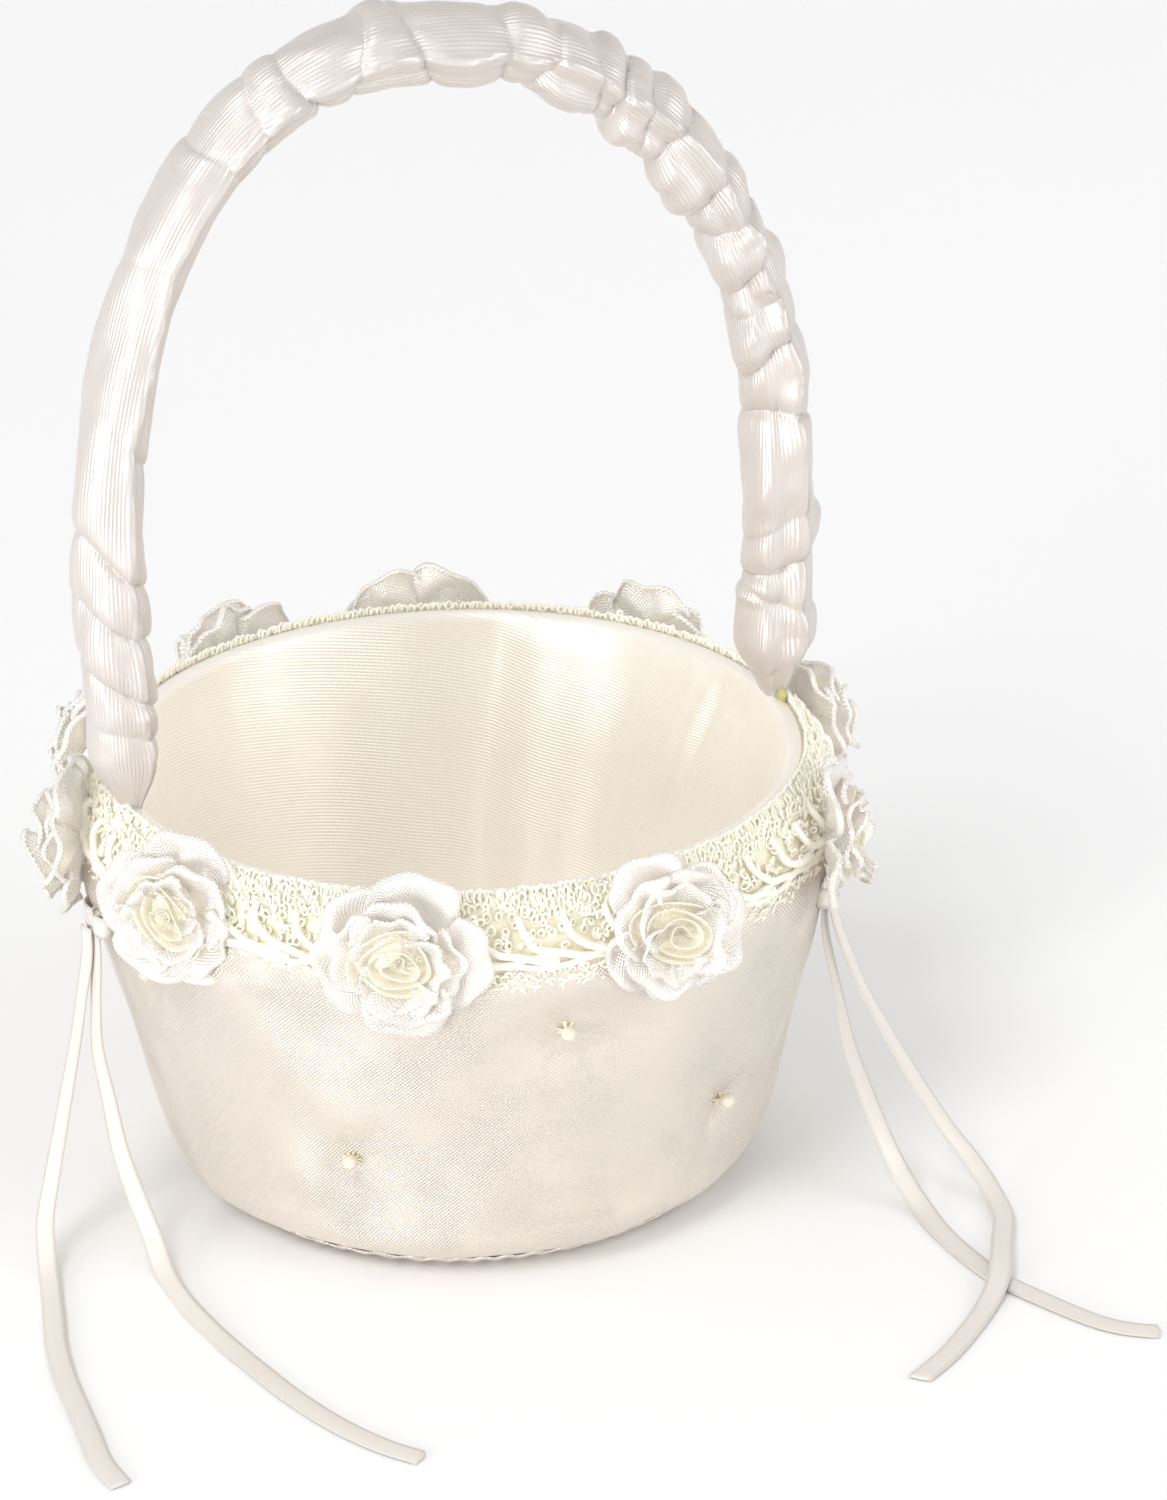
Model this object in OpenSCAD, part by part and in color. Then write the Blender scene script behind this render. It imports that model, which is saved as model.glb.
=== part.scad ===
// Flower girl basket: a stiff tapered bowl, padded and covered in satin, with a
// padded arch handle in a gathered satin sleeve, a braid round the rim, ten
// ribbon roses, pearl tufts and two pairs of ribbon tails.
// Origin: centre of the base, on the surface the basket stands on. +Z is up and
// the handle lies in the XZ plane.

/* [Bowl] */
// Height of the rim above the table
bowl_h = 100; // [96:1:110]
// Radius of the open mouth at the rim
mouth_r = 76.5; // [76:0.5:78]
// Outer radius of the cover at the lower edge of the braid
belly_r = 83; // [82.5:0.5:85]
// Outer radius of the cover just above the base corner
base_r = 66.5; // [66.5:0.5:70]
// Radius of the padded corner round the base
corner_r = 13; // [12.5:0.5:14]
// Radius of the flat base cover
foot_r = 52; // [48:1:53]

/* [Handle] */
// Half the distance between the handle's feet at the rim
foot_half = 76; // [75.8:0.1:76.2]
// Half the distance between the legs where the arch starts
spring_half = 77.5; // [76:0.5:79]
// Height of the start of the arch above the rim
spring_rise = 50; // [40:1:60]
// Height of the middle of the arch above the rim
apex_rise = 163; // [140:1:180]
// How far the hand-bent arch leans to one side at its top
apex_shift = -8; // [-12:1:12]
// Squareness of the arch, 2 is an ellipse
arch_power = 2.2; // [2:0.1:2.6]
// Radius of the gathered sleeve
sleeve_r = 8.7; // [8:0.1:9.5]
// Thickness of the flat core strip
core_t = 2.2; // [1.6:0.1:2.2]
// Width of the flat core strip
core_w = 10; // [8:0.5:10]

/* [Trim] */
// Height of the braid band
braid_h = 20; // [18:1:21]
// Number of scrolls woven round the braid
scroll_count = 54; // [40:1:56]
// Radius of a rose from its heart to the petal tips
rose_r = 17.5; // [15:0.5:18]
// Height of the rose hearts above the table
rose_z = 90; // [88:1:92]
// Diameter of a pearl
pearl_d = 3.2; // [2.5:0.1:4]
// Width of a ribbon tail
ribbon_w = 5; // [4:0.5:6]
// Thickness of a ribbon tail
ribbon_t = 0.8; // [0.6:0.1:1]

/* [Hidden] */

$fn = 96;

// Thickness of each layer of the wall, from the outside in
cover_t = 1;
form_t = 1.6;
lining_pad_t = 2.4;
lining_t = 0.8;
// Room left between neighbouring layers
gap = 0.2;

// Levels in the base, from the table up
base_cover_top = 2.2;
cover_bottom = base_cover_top + gap;
form_bottom = 4.6;
form_base_top = 6.4;
floor_pad_top = 8.2;
lining_floor_top = 9.2;
lining_bend_z = bowl_h - 8;

// The braid covers the padded shoulder between the flank and the mouth
belly_z = bowl_h - braid_h;
corner_centre = [base_r - corner_r, cover_bottom + corner_r];

// Outer outline of the satin cover, moved inwards by d
function skin(d) = concat(
    [[foot_r - 4, cover_bottom + d]],
    [for (a = [-90:10:0]) corner_centre + (corner_r - d) * [cos(a), sin(a)]],
    shoulder(d, 0, 90));

// Part of the padded shoulder between two angles, moved inwards by d
function shoulder(d, a0, a1) = [for (k = [0:10]) shoulder_point(d, a0 + (a1 - a0) * k / 10)];
function shoulder_point(d, a) =
    [mouth_r + (belly_r - mouth_r - d) * cos(a), belly_z + (braid_h - d) * sin(a)];

function reversed(list) = [for (k = [len(list) - 1:-1:0]) list[k]];

// The inside of the bowl is a straight cone; d is measured outwards from the lining's face
lining_top_r = mouth_r - 3.9;
lining_slope = 0.224;
function cone_r(z, d) = lining_top_r + d - (lining_bend_z - z) * lining_slope;
lining_pad_d = lining_t + gap;
form_d = lining_pad_d + lining_pad_t + gap;

module revolve(points) {
    rotate_extrude() polygon(points);
}

module layer(d, thickness, z0, z1) {
    revolve([
        [cone_r(z0, d), z0], [cone_r(z0, d + thickness), z0],
        [cone_r(z1, d + thickness), z1], [cone_r(z1, d), z1]
    ]);
}

// Room round the two legs of the handle core, where they go down inside the wall
slot_y = core_w / 2 + 0.6;
module core_slots(z0) {
    for (side = [-1, 1])
        rotate([0, 0, side < 0 ? 180 : 0])
            translate([foot_half - 14, -slot_y, z0])
                cube([14 + core_t / 2 + 0.4, 2 * slot_y, bowl_h + 4 - z0]);
}

// ---- Base and bowl ----

module base_cover() {
    color("linen") cylinder(h = base_cover_top, r = foot_r);
}

module cover_hem() {
    in_r = foot_r + gap;
    color("bisque") revolve([
        [in_r, 0.5], [foot_r + 5, 0.5], [foot_r + 8.5, 3.4],
        [foot_r + 5.5, 2.5], [foot_r + 2, base_cover_top], [in_r, base_cover_top]
    ]);
}

module outer_cover() {
    color("seashell") difference() {
        revolve(concat(skin(0), reversed(skin(cover_t))));
        core_slots(bowl_h - 6);
    }
}

module wall_padding() {
    form_out = form_d + form_t + gap;
    inside = [[cone_r(bowl_h - 9, form_out), bowl_h - 9], [cone_r(form_bottom + 3, form_out), form_bottom + 3]];
    flank = [for (a = [-30:10:0]) corner_centre + (corner_r - cover_t - gap) * [cos(a), sin(a)]];
    color("white") revolve(concat(flank, shoulder(cover_t + gap, 0, 30), inside));
}

module form_wall() {
    top_z = bowl_h - 4;
    bead_r = 1.2;
    color("wheat") rotate_extrude() {
        polygon([
            [cone_r(form_bottom, form_d), form_bottom], [cone_r(form_bottom, form_d + form_t), form_bottom],
            [cone_r(top_z, form_d + form_t), top_z], [cone_r(top_z, form_d), top_z]
        ]);
        translate([mouth_r + 1.6, top_z - 0.6]) circle(bead_r);
    }
}

module form_base() {
    color("tan") translate([0, 0, form_bottom])
        cylinder(h = form_base_top - form_bottom, r = cone_r(form_bottom, form_d) - gap);
}

module lining_padding() {
    color("white") difference() {
        layer(lining_pad_d, lining_pad_t, form_base_top + gap, bowl_h - 4);
        handle_strip(2 * slot_y, core_t + 2);
    }
}

module lining_wall() {
    bottom_z = floor_pad_top + gap;
    color("ivory") difference() {
        revolve([
            [cone_r(bottom_z, 0), bottom_z], [lining_top_r, lining_bend_z],
            [lining_top_r + 1.3, bowl_h - 2.4], [mouth_r - 1, bowl_h],
            [mouth_r - gap, bowl_h], [mouth_r - gap, bowl_h - 1],
            [lining_top_r + 2.1, bowl_h - 3], [lining_top_r + lining_t, lining_bend_z],
            [cone_r(bottom_z, lining_t), bottom_z]
        ]);
        handle_strip(2 * slot_y, core_t + 0.6);
    }
}

module floor_pad() {
    color("white") translate([0, 0, form_base_top + gap])
        cylinder(h = floor_pad_top - form_base_top - gap, r = cone_r(form_base_top, lining_t) - 0.5);
}

module lining_floor() {
    color("ivory") translate([0, 0, floor_pad_top + gap])
        cylinder(h = lining_floor_top - floor_pad_top - gap, r = cone_r(floor_pad_top, 0) - gap);
}

// ---- Handle: one arch in the XZ plane, both legs going down inside the wall ----

function smooth(t) = t * t * (3 - 2 * t);
function leg_half(z) =
    foot_half + (spring_half - foot_half) * smooth(max(0, min(1, (z - bowl_h) / spring_rise)));
function arch_point(a) =
    let (half = spring_half + (cos(a) > 0 ? -apex_shift : apex_shift))
    [apex_shift + half * sign(cos(a)) * pow(abs(cos(a)), 2 / arch_power),
     bowl_h + spring_rise + (apex_rise - spring_rise) * pow(abs(sin(a)), 2 / arch_power)];

sleeve_foot_z = bowl_h + 2.6;
spring_z = bowl_h + spring_rise;
leg_zs = [for (k = [0:5]) sleeve_foot_z + (spring_z - sleeve_foot_z) * k / 6];
// Middle line of the sleeve, from the right foot over the top to the left foot
sleeve_path = concat(
    [for (z = leg_zs) [leg_half(z), z]],
    [for (a = [0:6:180]) arch_point(a)],
    [for (z = reversed(leg_zs)) [-leg_half(z), z]]);
// Middle line of the core, which runs on into the wall at each end
core_middle_d = lining_pad_d + lining_pad_t / 2;
wall_leg = [
    [cone_r(bowl_h - 40, core_middle_d), bowl_h - 40],
    [cone_r(lining_bend_z, core_middle_d), lining_bend_z],
    [foot_half - 0.4, bowl_h - 2.5]
];
core_path = concat(wall_leg, sleeve_path, [for (p = reversed(wall_leg)) [-p[0], p[1]]]);

function tangent(path, i) =
    let (d = path[min(i + 1, len(path) - 1)] - path[max(i - 1, 0)]) d / norm(d);
function side_line(path, d) =
    [for (i = [0:len(path) - 1]) let (t = tangent(path, i)) path[i] + d * [t[1], -t[0]]];

module handle_strip(width, thickness) {
    translate([0, width / 2, 0]) rotate([90, 0, 0]) linear_extrude(width)
        polygon(concat(side_line(core_path, thickness / 2), reversed(side_line(core_path, -thickness / 2))));
}

module handle_core() {
    color("gainsboro") handle_strip(core_w, core_t);
}

// Rings of a hollow tube round the arch. Each loop holds [along the arch's normal, along Y]
// offsets, and both loops have the same number of points.
module arch_tube(outer_loop, inner_loop) {
    m = len(outer_loop);
    n = len(sleeve_path);
    points = [
        for (i = [0:n - 1], loop = [outer_loop, inner_loop], q = loop)
            let (t = tangent(sleeve_path, i), p = sleeve_path[i])
            [p[0] + q[0] * t[1], q[1], p[1] - q[0] * t[0]]
    ];
    function at(i, k, inner) = (i * 2 + inner) * m + k % m;
    polyhedron(points, concat(
        [for (i = [0:n - 2], k = [0:m - 1])
            [at(i, k, 0), at(i, k + 1, 0), at(i + 1, k + 1, 0), at(i + 1, k, 0)]],
        [for (i = [0:n - 2], k = [0:m - 1])
            [at(i, k, 1), at(i + 1, k, 1), at(i + 1, k + 1, 1), at(i, k + 1, 1)]],
        [for (k = [0:m - 1]) [at(0, k, 0), at(0, k, 1), at(0, k + 1, 1), at(0, k + 1, 0)]],
        [for (k = [0:m - 1])
            [at(n - 1, k, 0), at(n - 1, k + 1, 0), at(n - 1, k + 1, 1), at(n - 1, k, 1)]]),
        convexity = 6);
}

sleeve_sides = 20;
sleeve_t = 0.8;
function round_loop(r) = [for (k = [0:sleeve_sides - 1]) let (a = 45 + k * 360 / sleeve_sides) r * [cos(a), sin(a)]];
// Walks round a rectangle, with a corner at every quarter of the points
function square_loop(a, b) = [
    for (k = [0:sleeve_sides - 1])
        let (t = 4 * k / sleeve_sides, side = floor(t), u = 1 - 2 * (t - side))
        side == 0 ? [a * u, b] : side == 1 ? [-a, b * u] : side == 2 ? [-a * u, -b] : [a, -b * u]
];

module handle_sleeve() {
    color("snow") arch_tube(round_loop(sleeve_r), round_loop(sleeve_r - sleeve_t));
}

module handle_padding() {
    color("white") arch_tube(round_loop(sleeve_r - sleeve_t - 0.3),
        square_loop(core_t / 2 + 0.3, core_w / 2 + 0.3));
}

// The seam runs along the inner side of the sleeve, turned towards the front
seam_angle = 52;
module handle_stitching() {
    stitch_r = 0.3;
    out = sleeve_r + stitch_r + 0.05;
    color("beige") for (i = [3:len(sleeve_path) - 4]) {
        t = tangent(sleeve_path, i);
        p = sleeve_path[i] - out * sin(seam_angle) * [t[1], -t[0]];
        translate([p[0], -out * cos(seam_angle), p[1]]) rotate([0, atan2(t[0], t[1]), 0])
            cylinder(h = 2.4, r = stitch_r, center = true, $fn = 24);
    }
}

// ---- Braid round the rim ----

tape_t = 0.8;
cord_r = 0.8;
tape_face = -(gap + tape_t);

module cord_ring(centre) {
    rotate_extrude() translate(centre) circle(cord_r, $fn = 24);
}

module braid_tape() {
    color("cornsilk") revolve(concat(shoulder(tape_face, 2, 80), reversed(shoulder(-gap, 2, 80))));
}

module braid_bottom_picot() {
    color("cornsilk") cord_ring([belly_r + cord_r + gap, belly_z - cord_r - gap]);
}

module braid_top_picot() {
    color("cornsilk") cord_ring([mouth_r + 0.5, bowl_h + cord_r + 0.1]);
}

module braid_rails() {
    color("ivory") for (a = [18, 26])
        cord_ring(shoulder_point(tape_face - cord_r - gap, a));
}

module braid_scrolls() {
    scroll_r = 2.3;
    scroll_angle = 48;
    spot = shoulder_point(tape_face - cord_r - gap, scroll_angle);
    color("ivory") for (k = [0:scroll_count - 1])
        rotate([0, 0, k * 360 / scroll_count]) translate([spot[0], 0, spot[1]])
            rotate([0, 62, 0]) rotate_extrude(angle = 230, $fn = 24)
                translate([scroll_r, 0]) circle(cord_r * 0.8, $fn = 16);
}

// ---- Roses: a ring of overlapping petals round a rolled heart ----

// Where each rose sits round the rim, placed by hand
rose_angles = [242, 281, 321, 3, 38, 76, 108, 141, 175, 205];
rose_back_r = belly_r + 2.9;
heart_r = 5.6;

module at_rose(index) {
    rotate([0, 0, rose_angles[index]]) translate([rose_back_r, 0, rose_z])
        rotate([0, 90, 0]) rotate([0, 0, index * 47]) children();
}

// One layer of petals: a flat plate with a scalloped edge
module petal_layer(r, petals, turn, thickness) {
    rotate([0, 0, turn]) linear_extrude(thickness)
        polygon([for (a = [0:9:351]) r * (0.82 + 0.18 * abs(cos(petals * a / 2))) * [cos(a), sin(a)]]);
}

module rose_petals(index) {
    layer_h = 2.4;
    color("floralwhite") at_rose(index) difference() {
        union() {
            petal_layer(rose_r, 5, 0, layer_h);
            translate([0, 0, layer_h]) petal_layer(rose_r * 0.8, 5, 36, layer_h);
            translate([0, 0, 2 * layer_h]) petal_layer(rose_r * 0.6, 4, 12, layer_h);
        }
        translate([0, 0, 1]) cylinder(h = 20, r = heart_r + gap);
    }
}

module rose_heart(index) {
    turn_w = 1.4;
    color("lemonchiffon") at_rose(index) translate([0, 0, 1 + gap]) difference() {
        cylinder(h = 9, r1 = heart_r - 1, r2 = heart_r - 0.3);
        for (r = [1.2, 3.4]) translate([0, 0, 7.2]) difference() {
            cylinder(h = 4, r = r + turn_w / 2);
            translate([0, 0, -1]) cylinder(h = 6, r = r - turn_w / 4);
        }
    }
}

// ---- Pearls sewn through the padded cover in a zigzag ----

pearl_count = 10;
pearl_low_z = 33;
pearl_high_z = 68;
function cover_r(z) = base_r + (belly_r - base_r) * (z - corner_centre[1]) / (belly_z - corner_centre[1]);
module at_pearls(out) {
    for (k = [0:pearl_count - 1]) {
        z = k % 2 == 0 ? pearl_low_z : pearl_high_z;
        rotate([0, 0, 230 + k * 36]) translate([cover_r(z) + out, 0, z]) rotate([0, 90, 0]) children();
    }
}

knot_h = 0.6;
module pearl_knots() {
    color("khaki") at_pearls(gap) cylinder(h = knot_h, r = 0.9, $fn = 24);
}

module pearls() {
    color("ivory") at_pearls(gap + knot_h + pearl_d / 2) sphere(pearl_d / 2, $fn = 32);
}

// ---- Ribbon tails: knotted under a rose, hanging, then lying on the table ----

knot_r = 1.6;
knot_z = 74.4;
module ribbon_knot(angle) {
    color("linen") rotate([0, 0, angle]) translate([belly_r + knot_r + 0.5, 0, knot_z]) {
        translate([0, 0, -1.6]) cylinder(h = 4, r = knot_r, $fn = 32);
        for (side = [-1, 1]) translate([0, side * 4, 0.4]) rotate([0, 90, 0])
            rotate_extrude($fn = 48) translate([2.2, 0]) circle(knot_r * 0.6, $fn = 24);
    }
}

module ribbon_knot_left() { ribbon_knot(181); }
module ribbon_knot_right() { ribbon_knot(-37.5); }

// Each route runs from the knot to the cut end, with the way its face looks while it hangs
left_face = [-1, -0.15, 0];
right_face = [0.8, -0.6, 0];
left_outer_route = [
    [-87.5, -1, 72.5], [-88, -2, 66], [-90, -3, 57], [-92, -4, 48], [-95, -6, 38], [-98, -8, 28],
    [-101, -10, 18], [-104, -13, 9], [-106, -20, 2.5], [-108, -29, 0.6], [-111, -41, 0.6],
    [-114, -53, 0.6], [-116, -66, 0.6], [-117, -78, 0.6], [-118, -90, 0.6], [-119, -102, 0.6],
    [-118, -113, 0.6]
];
left_inner_route = [
    [-86, -2, 72.5], [-86.5, -4, 66], [-88, -7, 56], [-89, -10, 47], [-88, -13, 36], [-87, -16, 25],
    [-85, -19, 15], [-83, -24, 6], [-83, -32, 1.4], [-83, -43, 0.6], [-82, -54, 0.6],
    [-80, -66, 0.6], [-77, -79, 0.6], [-74, -92, 0.6], [-69, -107, 0.6], [-63, -119, 0.6],
    [-57, -127, 0.6]
];
right_inner_route = [
    [67, -51, 72.5], [67, -52, 63], [69, -54, 50], [71, -56, 37], [74, -58, 26], [77, -60, 16],
    [80, -64, 7], [82, -71, 1.6], [82, -82, 0.6], [83, -95, 0.6], [85, -106, 0.6], [90, -118, 0.6],
    [96, -130, 0.6], [101, -136, 0.6], [107, -140, 0.6]
];
right_outer_route = [
    [68, -52.2, 72.5], [70, -53, 64], [75, -54, 50], [81, -56, 37], [87, -58, 25], [93, -60, 14],
    [98, -64, 6], [99, -72, 2], [97, -82, 1.4], [92, -92, 2.2], [87, -102, 2.8], [83, -109, 2],
    [77, -116, 0.9], [70, -123, 0.6], [61, -131, 0.6], [51, -138, 0.6]
];

function unit(v) = v / norm(v);
function face_at(t, hanging_face) = unit(hanging_face * abs(t[2]) + [0, 0, 1] * (1 - abs(t[2])));

// A flat eight-sided tube swept along a route
module ribbon(route, hanging_face) {
    m = 8;
    n = len(route);
    points = [
        for (i = [0:n - 1], k = [0:m - 1])
            let (
                t = tangent(route, i),
                across = unit(cross(t, face_at(t, hanging_face))),
                out = cross(t, across),
                a = 22.5 + k * 45)
            route[i] + across * cos(a) / cos(22.5) * ribbon_w / 2 + out * sin(a) * ribbon_t / 2
    ];
    color("linen") polyhedron(points, concat(
        [[for (k = [0:m - 1]) k]],
        [for (i = [0:n - 2], k = [0:m - 1])
            [i * m + k, (i + 1) * m + k, (i + 1) * m + (k + 1) % m]],
        [for (i = [0:n - 2], k = [0:m - 1])
            [i * m + k, (i + 1) * m + (k + 1) % m, i * m + (k + 1) % m]],
        [[for (k = [m - 1:-1:0]) (n - 1) * m + k]]), convexity = 4);
}

module ribbon_left_outer() { ribbon(left_outer_route, left_face); }
module ribbon_left_inner() { ribbon(left_inner_route, left_face); }
module ribbon_right_inner() { ribbon(right_inner_route, right_face); }
module ribbon_right_outer() { ribbon(right_outer_route, right_face); }

base_cover();
cover_hem();
outer_cover();
wall_padding();
form_wall();
form_base();
lining_padding();
lining_wall();
floor_pad();
lining_floor();
handle_core();
handle_padding();
handle_sleeve();
handle_stitching();
braid_tape();
braid_top_picot();
braid_scrolls();
braid_rails();
braid_bottom_picot();
for (k = [1:10]) {
    label = k < 10 ? str("0", k) : "10";
    rose_petals(k - 1);
    rose_heart(k - 1);
}
pearls();
pearl_knots();
ribbon_knot_left();
ribbon_knot_right();
ribbon_left_outer();
ribbon_left_inner();
ribbon_right_inner();
ribbon_right_outer();
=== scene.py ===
"""A flower girl basket: satin, braid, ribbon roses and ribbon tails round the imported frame.

Lengths are in millimetres until a mesh is written, which is in metres. The origin is the
middle of the base on the table, +Z is up and the handle stands in the XZ plane.
"""

import logging
import math
from dataclasses import dataclass
from enum import Enum
from typing import Callable, Iterable, Sequence

import bpy
import numpy as np
from mathutils import Matrix, Vector

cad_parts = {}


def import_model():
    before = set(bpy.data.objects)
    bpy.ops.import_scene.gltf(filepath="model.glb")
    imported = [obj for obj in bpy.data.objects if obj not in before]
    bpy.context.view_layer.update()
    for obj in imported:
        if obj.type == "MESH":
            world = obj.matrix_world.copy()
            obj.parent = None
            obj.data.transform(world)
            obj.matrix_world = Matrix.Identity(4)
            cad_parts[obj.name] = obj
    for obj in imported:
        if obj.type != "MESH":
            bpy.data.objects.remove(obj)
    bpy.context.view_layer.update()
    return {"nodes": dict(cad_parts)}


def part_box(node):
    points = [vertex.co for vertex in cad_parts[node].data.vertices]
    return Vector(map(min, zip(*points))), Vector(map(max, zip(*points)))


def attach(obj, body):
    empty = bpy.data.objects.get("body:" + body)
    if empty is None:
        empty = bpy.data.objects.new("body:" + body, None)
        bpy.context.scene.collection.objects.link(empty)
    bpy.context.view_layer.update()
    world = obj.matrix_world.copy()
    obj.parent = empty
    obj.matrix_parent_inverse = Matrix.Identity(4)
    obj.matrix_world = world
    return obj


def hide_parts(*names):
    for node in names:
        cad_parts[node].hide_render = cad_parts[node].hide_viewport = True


MM = 0.001
TAU = math.tau
BODY = "root"

Array = np.ndarray
Place = Callable[[Array, Array], Array]
Socket = bpy.types.NodeSocket

log = logging.getLogger("basket")


# ---- Bench tools ----


def smooth_step(t: Array | float) -> Array | float:
    """Eases t from 0 to 1, held flat outside that range."""
    t = np.clip(t, 0.0, 1.0)
    return t * t * (3 - 2 * t)


def unit(vectors: Array) -> Array:
    """Scales each row to length one."""
    return vectors / np.maximum(np.linalg.norm(vectors, axis=-1, keepdims=True), 1e-9)


def steps(line: Array) -> Array:
    """Gives the distance between each point of a line and the next."""
    return np.linalg.norm(np.diff(line, axis=0), axis=1)


def run_length(line: Array) -> float:
    """Gives the length of a line of points."""
    return float(steps(line).sum())


def turn_from(angle: Array, middle: Array | float) -> Array:
    """Gives how far angles are from a middle one, from minus to plus half a turn."""
    return (angle - middle + math.pi) % TAU - math.pi


def lone(piece: bpy.types.Object) -> bpy.types.Object:
    """Selects one piece and nothing else.

    Args:
        piece: The piece that the next operator works on.
    Returns:
        The same piece, now active.
    """
    bpy.ops.object.select_all(action="DESELECT")
    piece.select_set(True)
    bpy.context.view_layer.objects.active = piece
    return piece


def apply_modifier(piece: bpy.types.Object, kind: str, **settings: object) -> None:
    """Adds a modifier to a piece and applies it.

    Args:
        piece: The piece to change.
        kind: The modifier's type.
        settings: The modifier's own settings.
    """
    lone(piece)
    modifier = piece.modifiers.new(kind.title(), kind)
    for name, value in settings.items():
        setattr(modifier, name, value)
    bpy.ops.object.modifier_apply(modifier=modifier.name)


def lay_grid(name: str, columns: int, rows: int, place: Place,
             cut: tuple[float, float], joined: bool = False) -> bpy.types.Object:
    """Lays a flat grid over a surface, with a UV map that counts mm of flat cloth.

    Args:
        name: The new piece's name.
        columns: Faces along the cloth.
        rows: Faces across the cloth.
        place: Gives the (n, 3) places, in mm, of arrays u and v that run from 0 to 1.
        cut: The cloth's flat length and width in mm, which its UV map is measured in.
        joined: True if the first and last columns meet in a seam.
    Returns:
        The new piece.
    """
    bpy.ops.object.select_all(action="DESELECT")
    bpy.ops.mesh.primitive_grid_add(x_subdivisions=columns, y_subdivisions=rows, size=2)
    piece = bpy.context.object
    piece.name = piece.data.name = name
    mesh = piece.data
    flat = np.empty(len(mesh.vertices) * 3)
    mesh.vertices.foreach_get("co", flat)
    flat = flat.reshape(-1, 3) / 2 + 0.5
    mesh.vertices.foreach_set("co", (place(flat[:, 0], flat[:, 1]) * MM).ravel())
    chart = mesh.uv_layers[0].data
    uv = np.empty(len(chart) * 2)
    chart.foreach_get("uv", uv)
    chart.foreach_set("uv", (uv.reshape(-1, 2) * cut).ravel())
    if joined:
        bpy.ops.object.mode_set(mode="EDIT")
        bpy.ops.mesh.select_all(action="SELECT")
        bpy.ops.mesh.remove_doubles(threshold=1e-6)
        bpy.ops.object.mode_set(mode="OBJECT")
    mesh.update()
    bpy.ops.object.shade_smooth()
    return piece


def lay_cords(name: str, runs: Iterable[Array], radius: float,
              sides: int = 1, cyclic: bool = False) -> bpy.types.Object:
    """Lays round cords along runs of points and makes them one mesh.

    Args:
        name: The new piece's name.
        runs: For each cord, the (n, 3) points it follows, in mm.
        radius: The cords' radius in mm.
        sides: The bevel resolution, where 1 gives six sides.
        cyclic: True if each cord closes on itself.
    Returns:
        The new piece.
    """
    lines = bpy.data.curves.new(name, "CURVE")
    lines.dimensions = "3D"
    lines.bevel_depth = radius * MM
    lines.bevel_resolution = sides
    lines.use_fill_caps = True
    for run in runs:
        line = lines.splines.new("POLY")
        line.points.add(len(run) - 1)
        line.points.foreach_set("co", np.column_stack([run * MM, np.ones(len(run))]).ravel())
        line.use_cyclic_u = cyclic
    piece = bpy.data.objects.new(name, lines)
    bpy.context.collection.objects.link(piece)
    lone(piece)
    bpy.ops.object.convert(target="MESH")
    bpy.ops.object.shade_smooth()
    return bpy.context.object


def join(name: str, pieces: Sequence[bpy.types.Object]) -> bpy.types.Object:
    """Joins several meshes into one piece.

    Args:
        name: The joined piece's name.
        pieces: The meshes to join.
    Returns:
        The joined piece.
    """
    lone(pieces[0])
    for piece in pieces[1:]:
        piece.select_set(True)
    bpy.ops.object.join()
    joined = bpy.context.object
    joined.name = joined.data.name = name
    return joined


def fair(points: Sequence[Sequence[float]], step: float) -> Array:
    """Draws one smooth line through given points.

    Args:
        points: The points the line passes through, in mm.
        step: The distance between the line's own points, in mm.
    Returns:
        The line's points, evenly spaced.
    """
    p = np.array(points, float)
    p = np.vstack([2 * p[0] - p[1], p, 2 * p[-1] - p[-2]])
    t = np.linspace(0, 1, 12, endpoint=False)[:, None]
    parts = []
    for a, b, c, d in zip(p, p[1:], p[2:], p[3:]):
        parts.append(0.5 * (2 * b + (c - a) * t + (2 * a - 5 * b + 4 * c - d) * t ** 2
                            + (3 * b - a - 3 * c + d) * t ** 3))
    line = np.vstack(parts + [p[-2][None]])
    run = np.concatenate([[0], np.cumsum(steps(line))])
    even = np.linspace(0, run[-1], max(2, round(run[-1] / step)) + 1)
    return np.column_stack([np.interp(even, run, line[:, k]) for k in range(3)])


def along(line: Array, t: Array) -> Array:
    """Gives the places on a line at shares t of its length."""
    run = np.concatenate([[0], np.cumsum(steps(line))])
    return np.column_stack([np.interp(t * run[-1], run, line[:, k])
                            for k in range(line.shape[1])])


@dataclass(frozen=True)
class Ripples:
    """A seeded smooth unevenness that closes round a ring, between about -1 and 1.

    Attributes:
        seed: Fixes the waves.
        turns: The fewest and most waves round the ring.
        reach: The shortest and longest wave across the ring, in mm.
        waves: How many waves are added up.
    """

    seed: int
    turns: tuple[int, int] = (2, 9)
    reach: tuple[float, float] = (30.0, 90.0)
    waves: int = 8

    def at(self, angle: Array, across: Array) -> Array:
        """Gives the unevenness at angles in radians and places across in mm."""
        rng = np.random.default_rng(self.seed)
        total = np.zeros_like(angle)
        for _ in range(self.waves):
            turn = int(rng.integers(self.turns[0], self.turns[1] + 1))
            pull = rng.choice([-1, 1]) * TAU / rng.uniform(*self.reach)
            total += np.cos(turn * angle + pull * across + rng.uniform(0, TAU))
        return total / math.sqrt(self.waves)


# ---- Finishes ----


class Weave(Enum):
    """How the threads of a cloth show."""

    PLAIN = "plain"
    RIBBED = "ribbed"
    TWILL = "twill"


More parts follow.
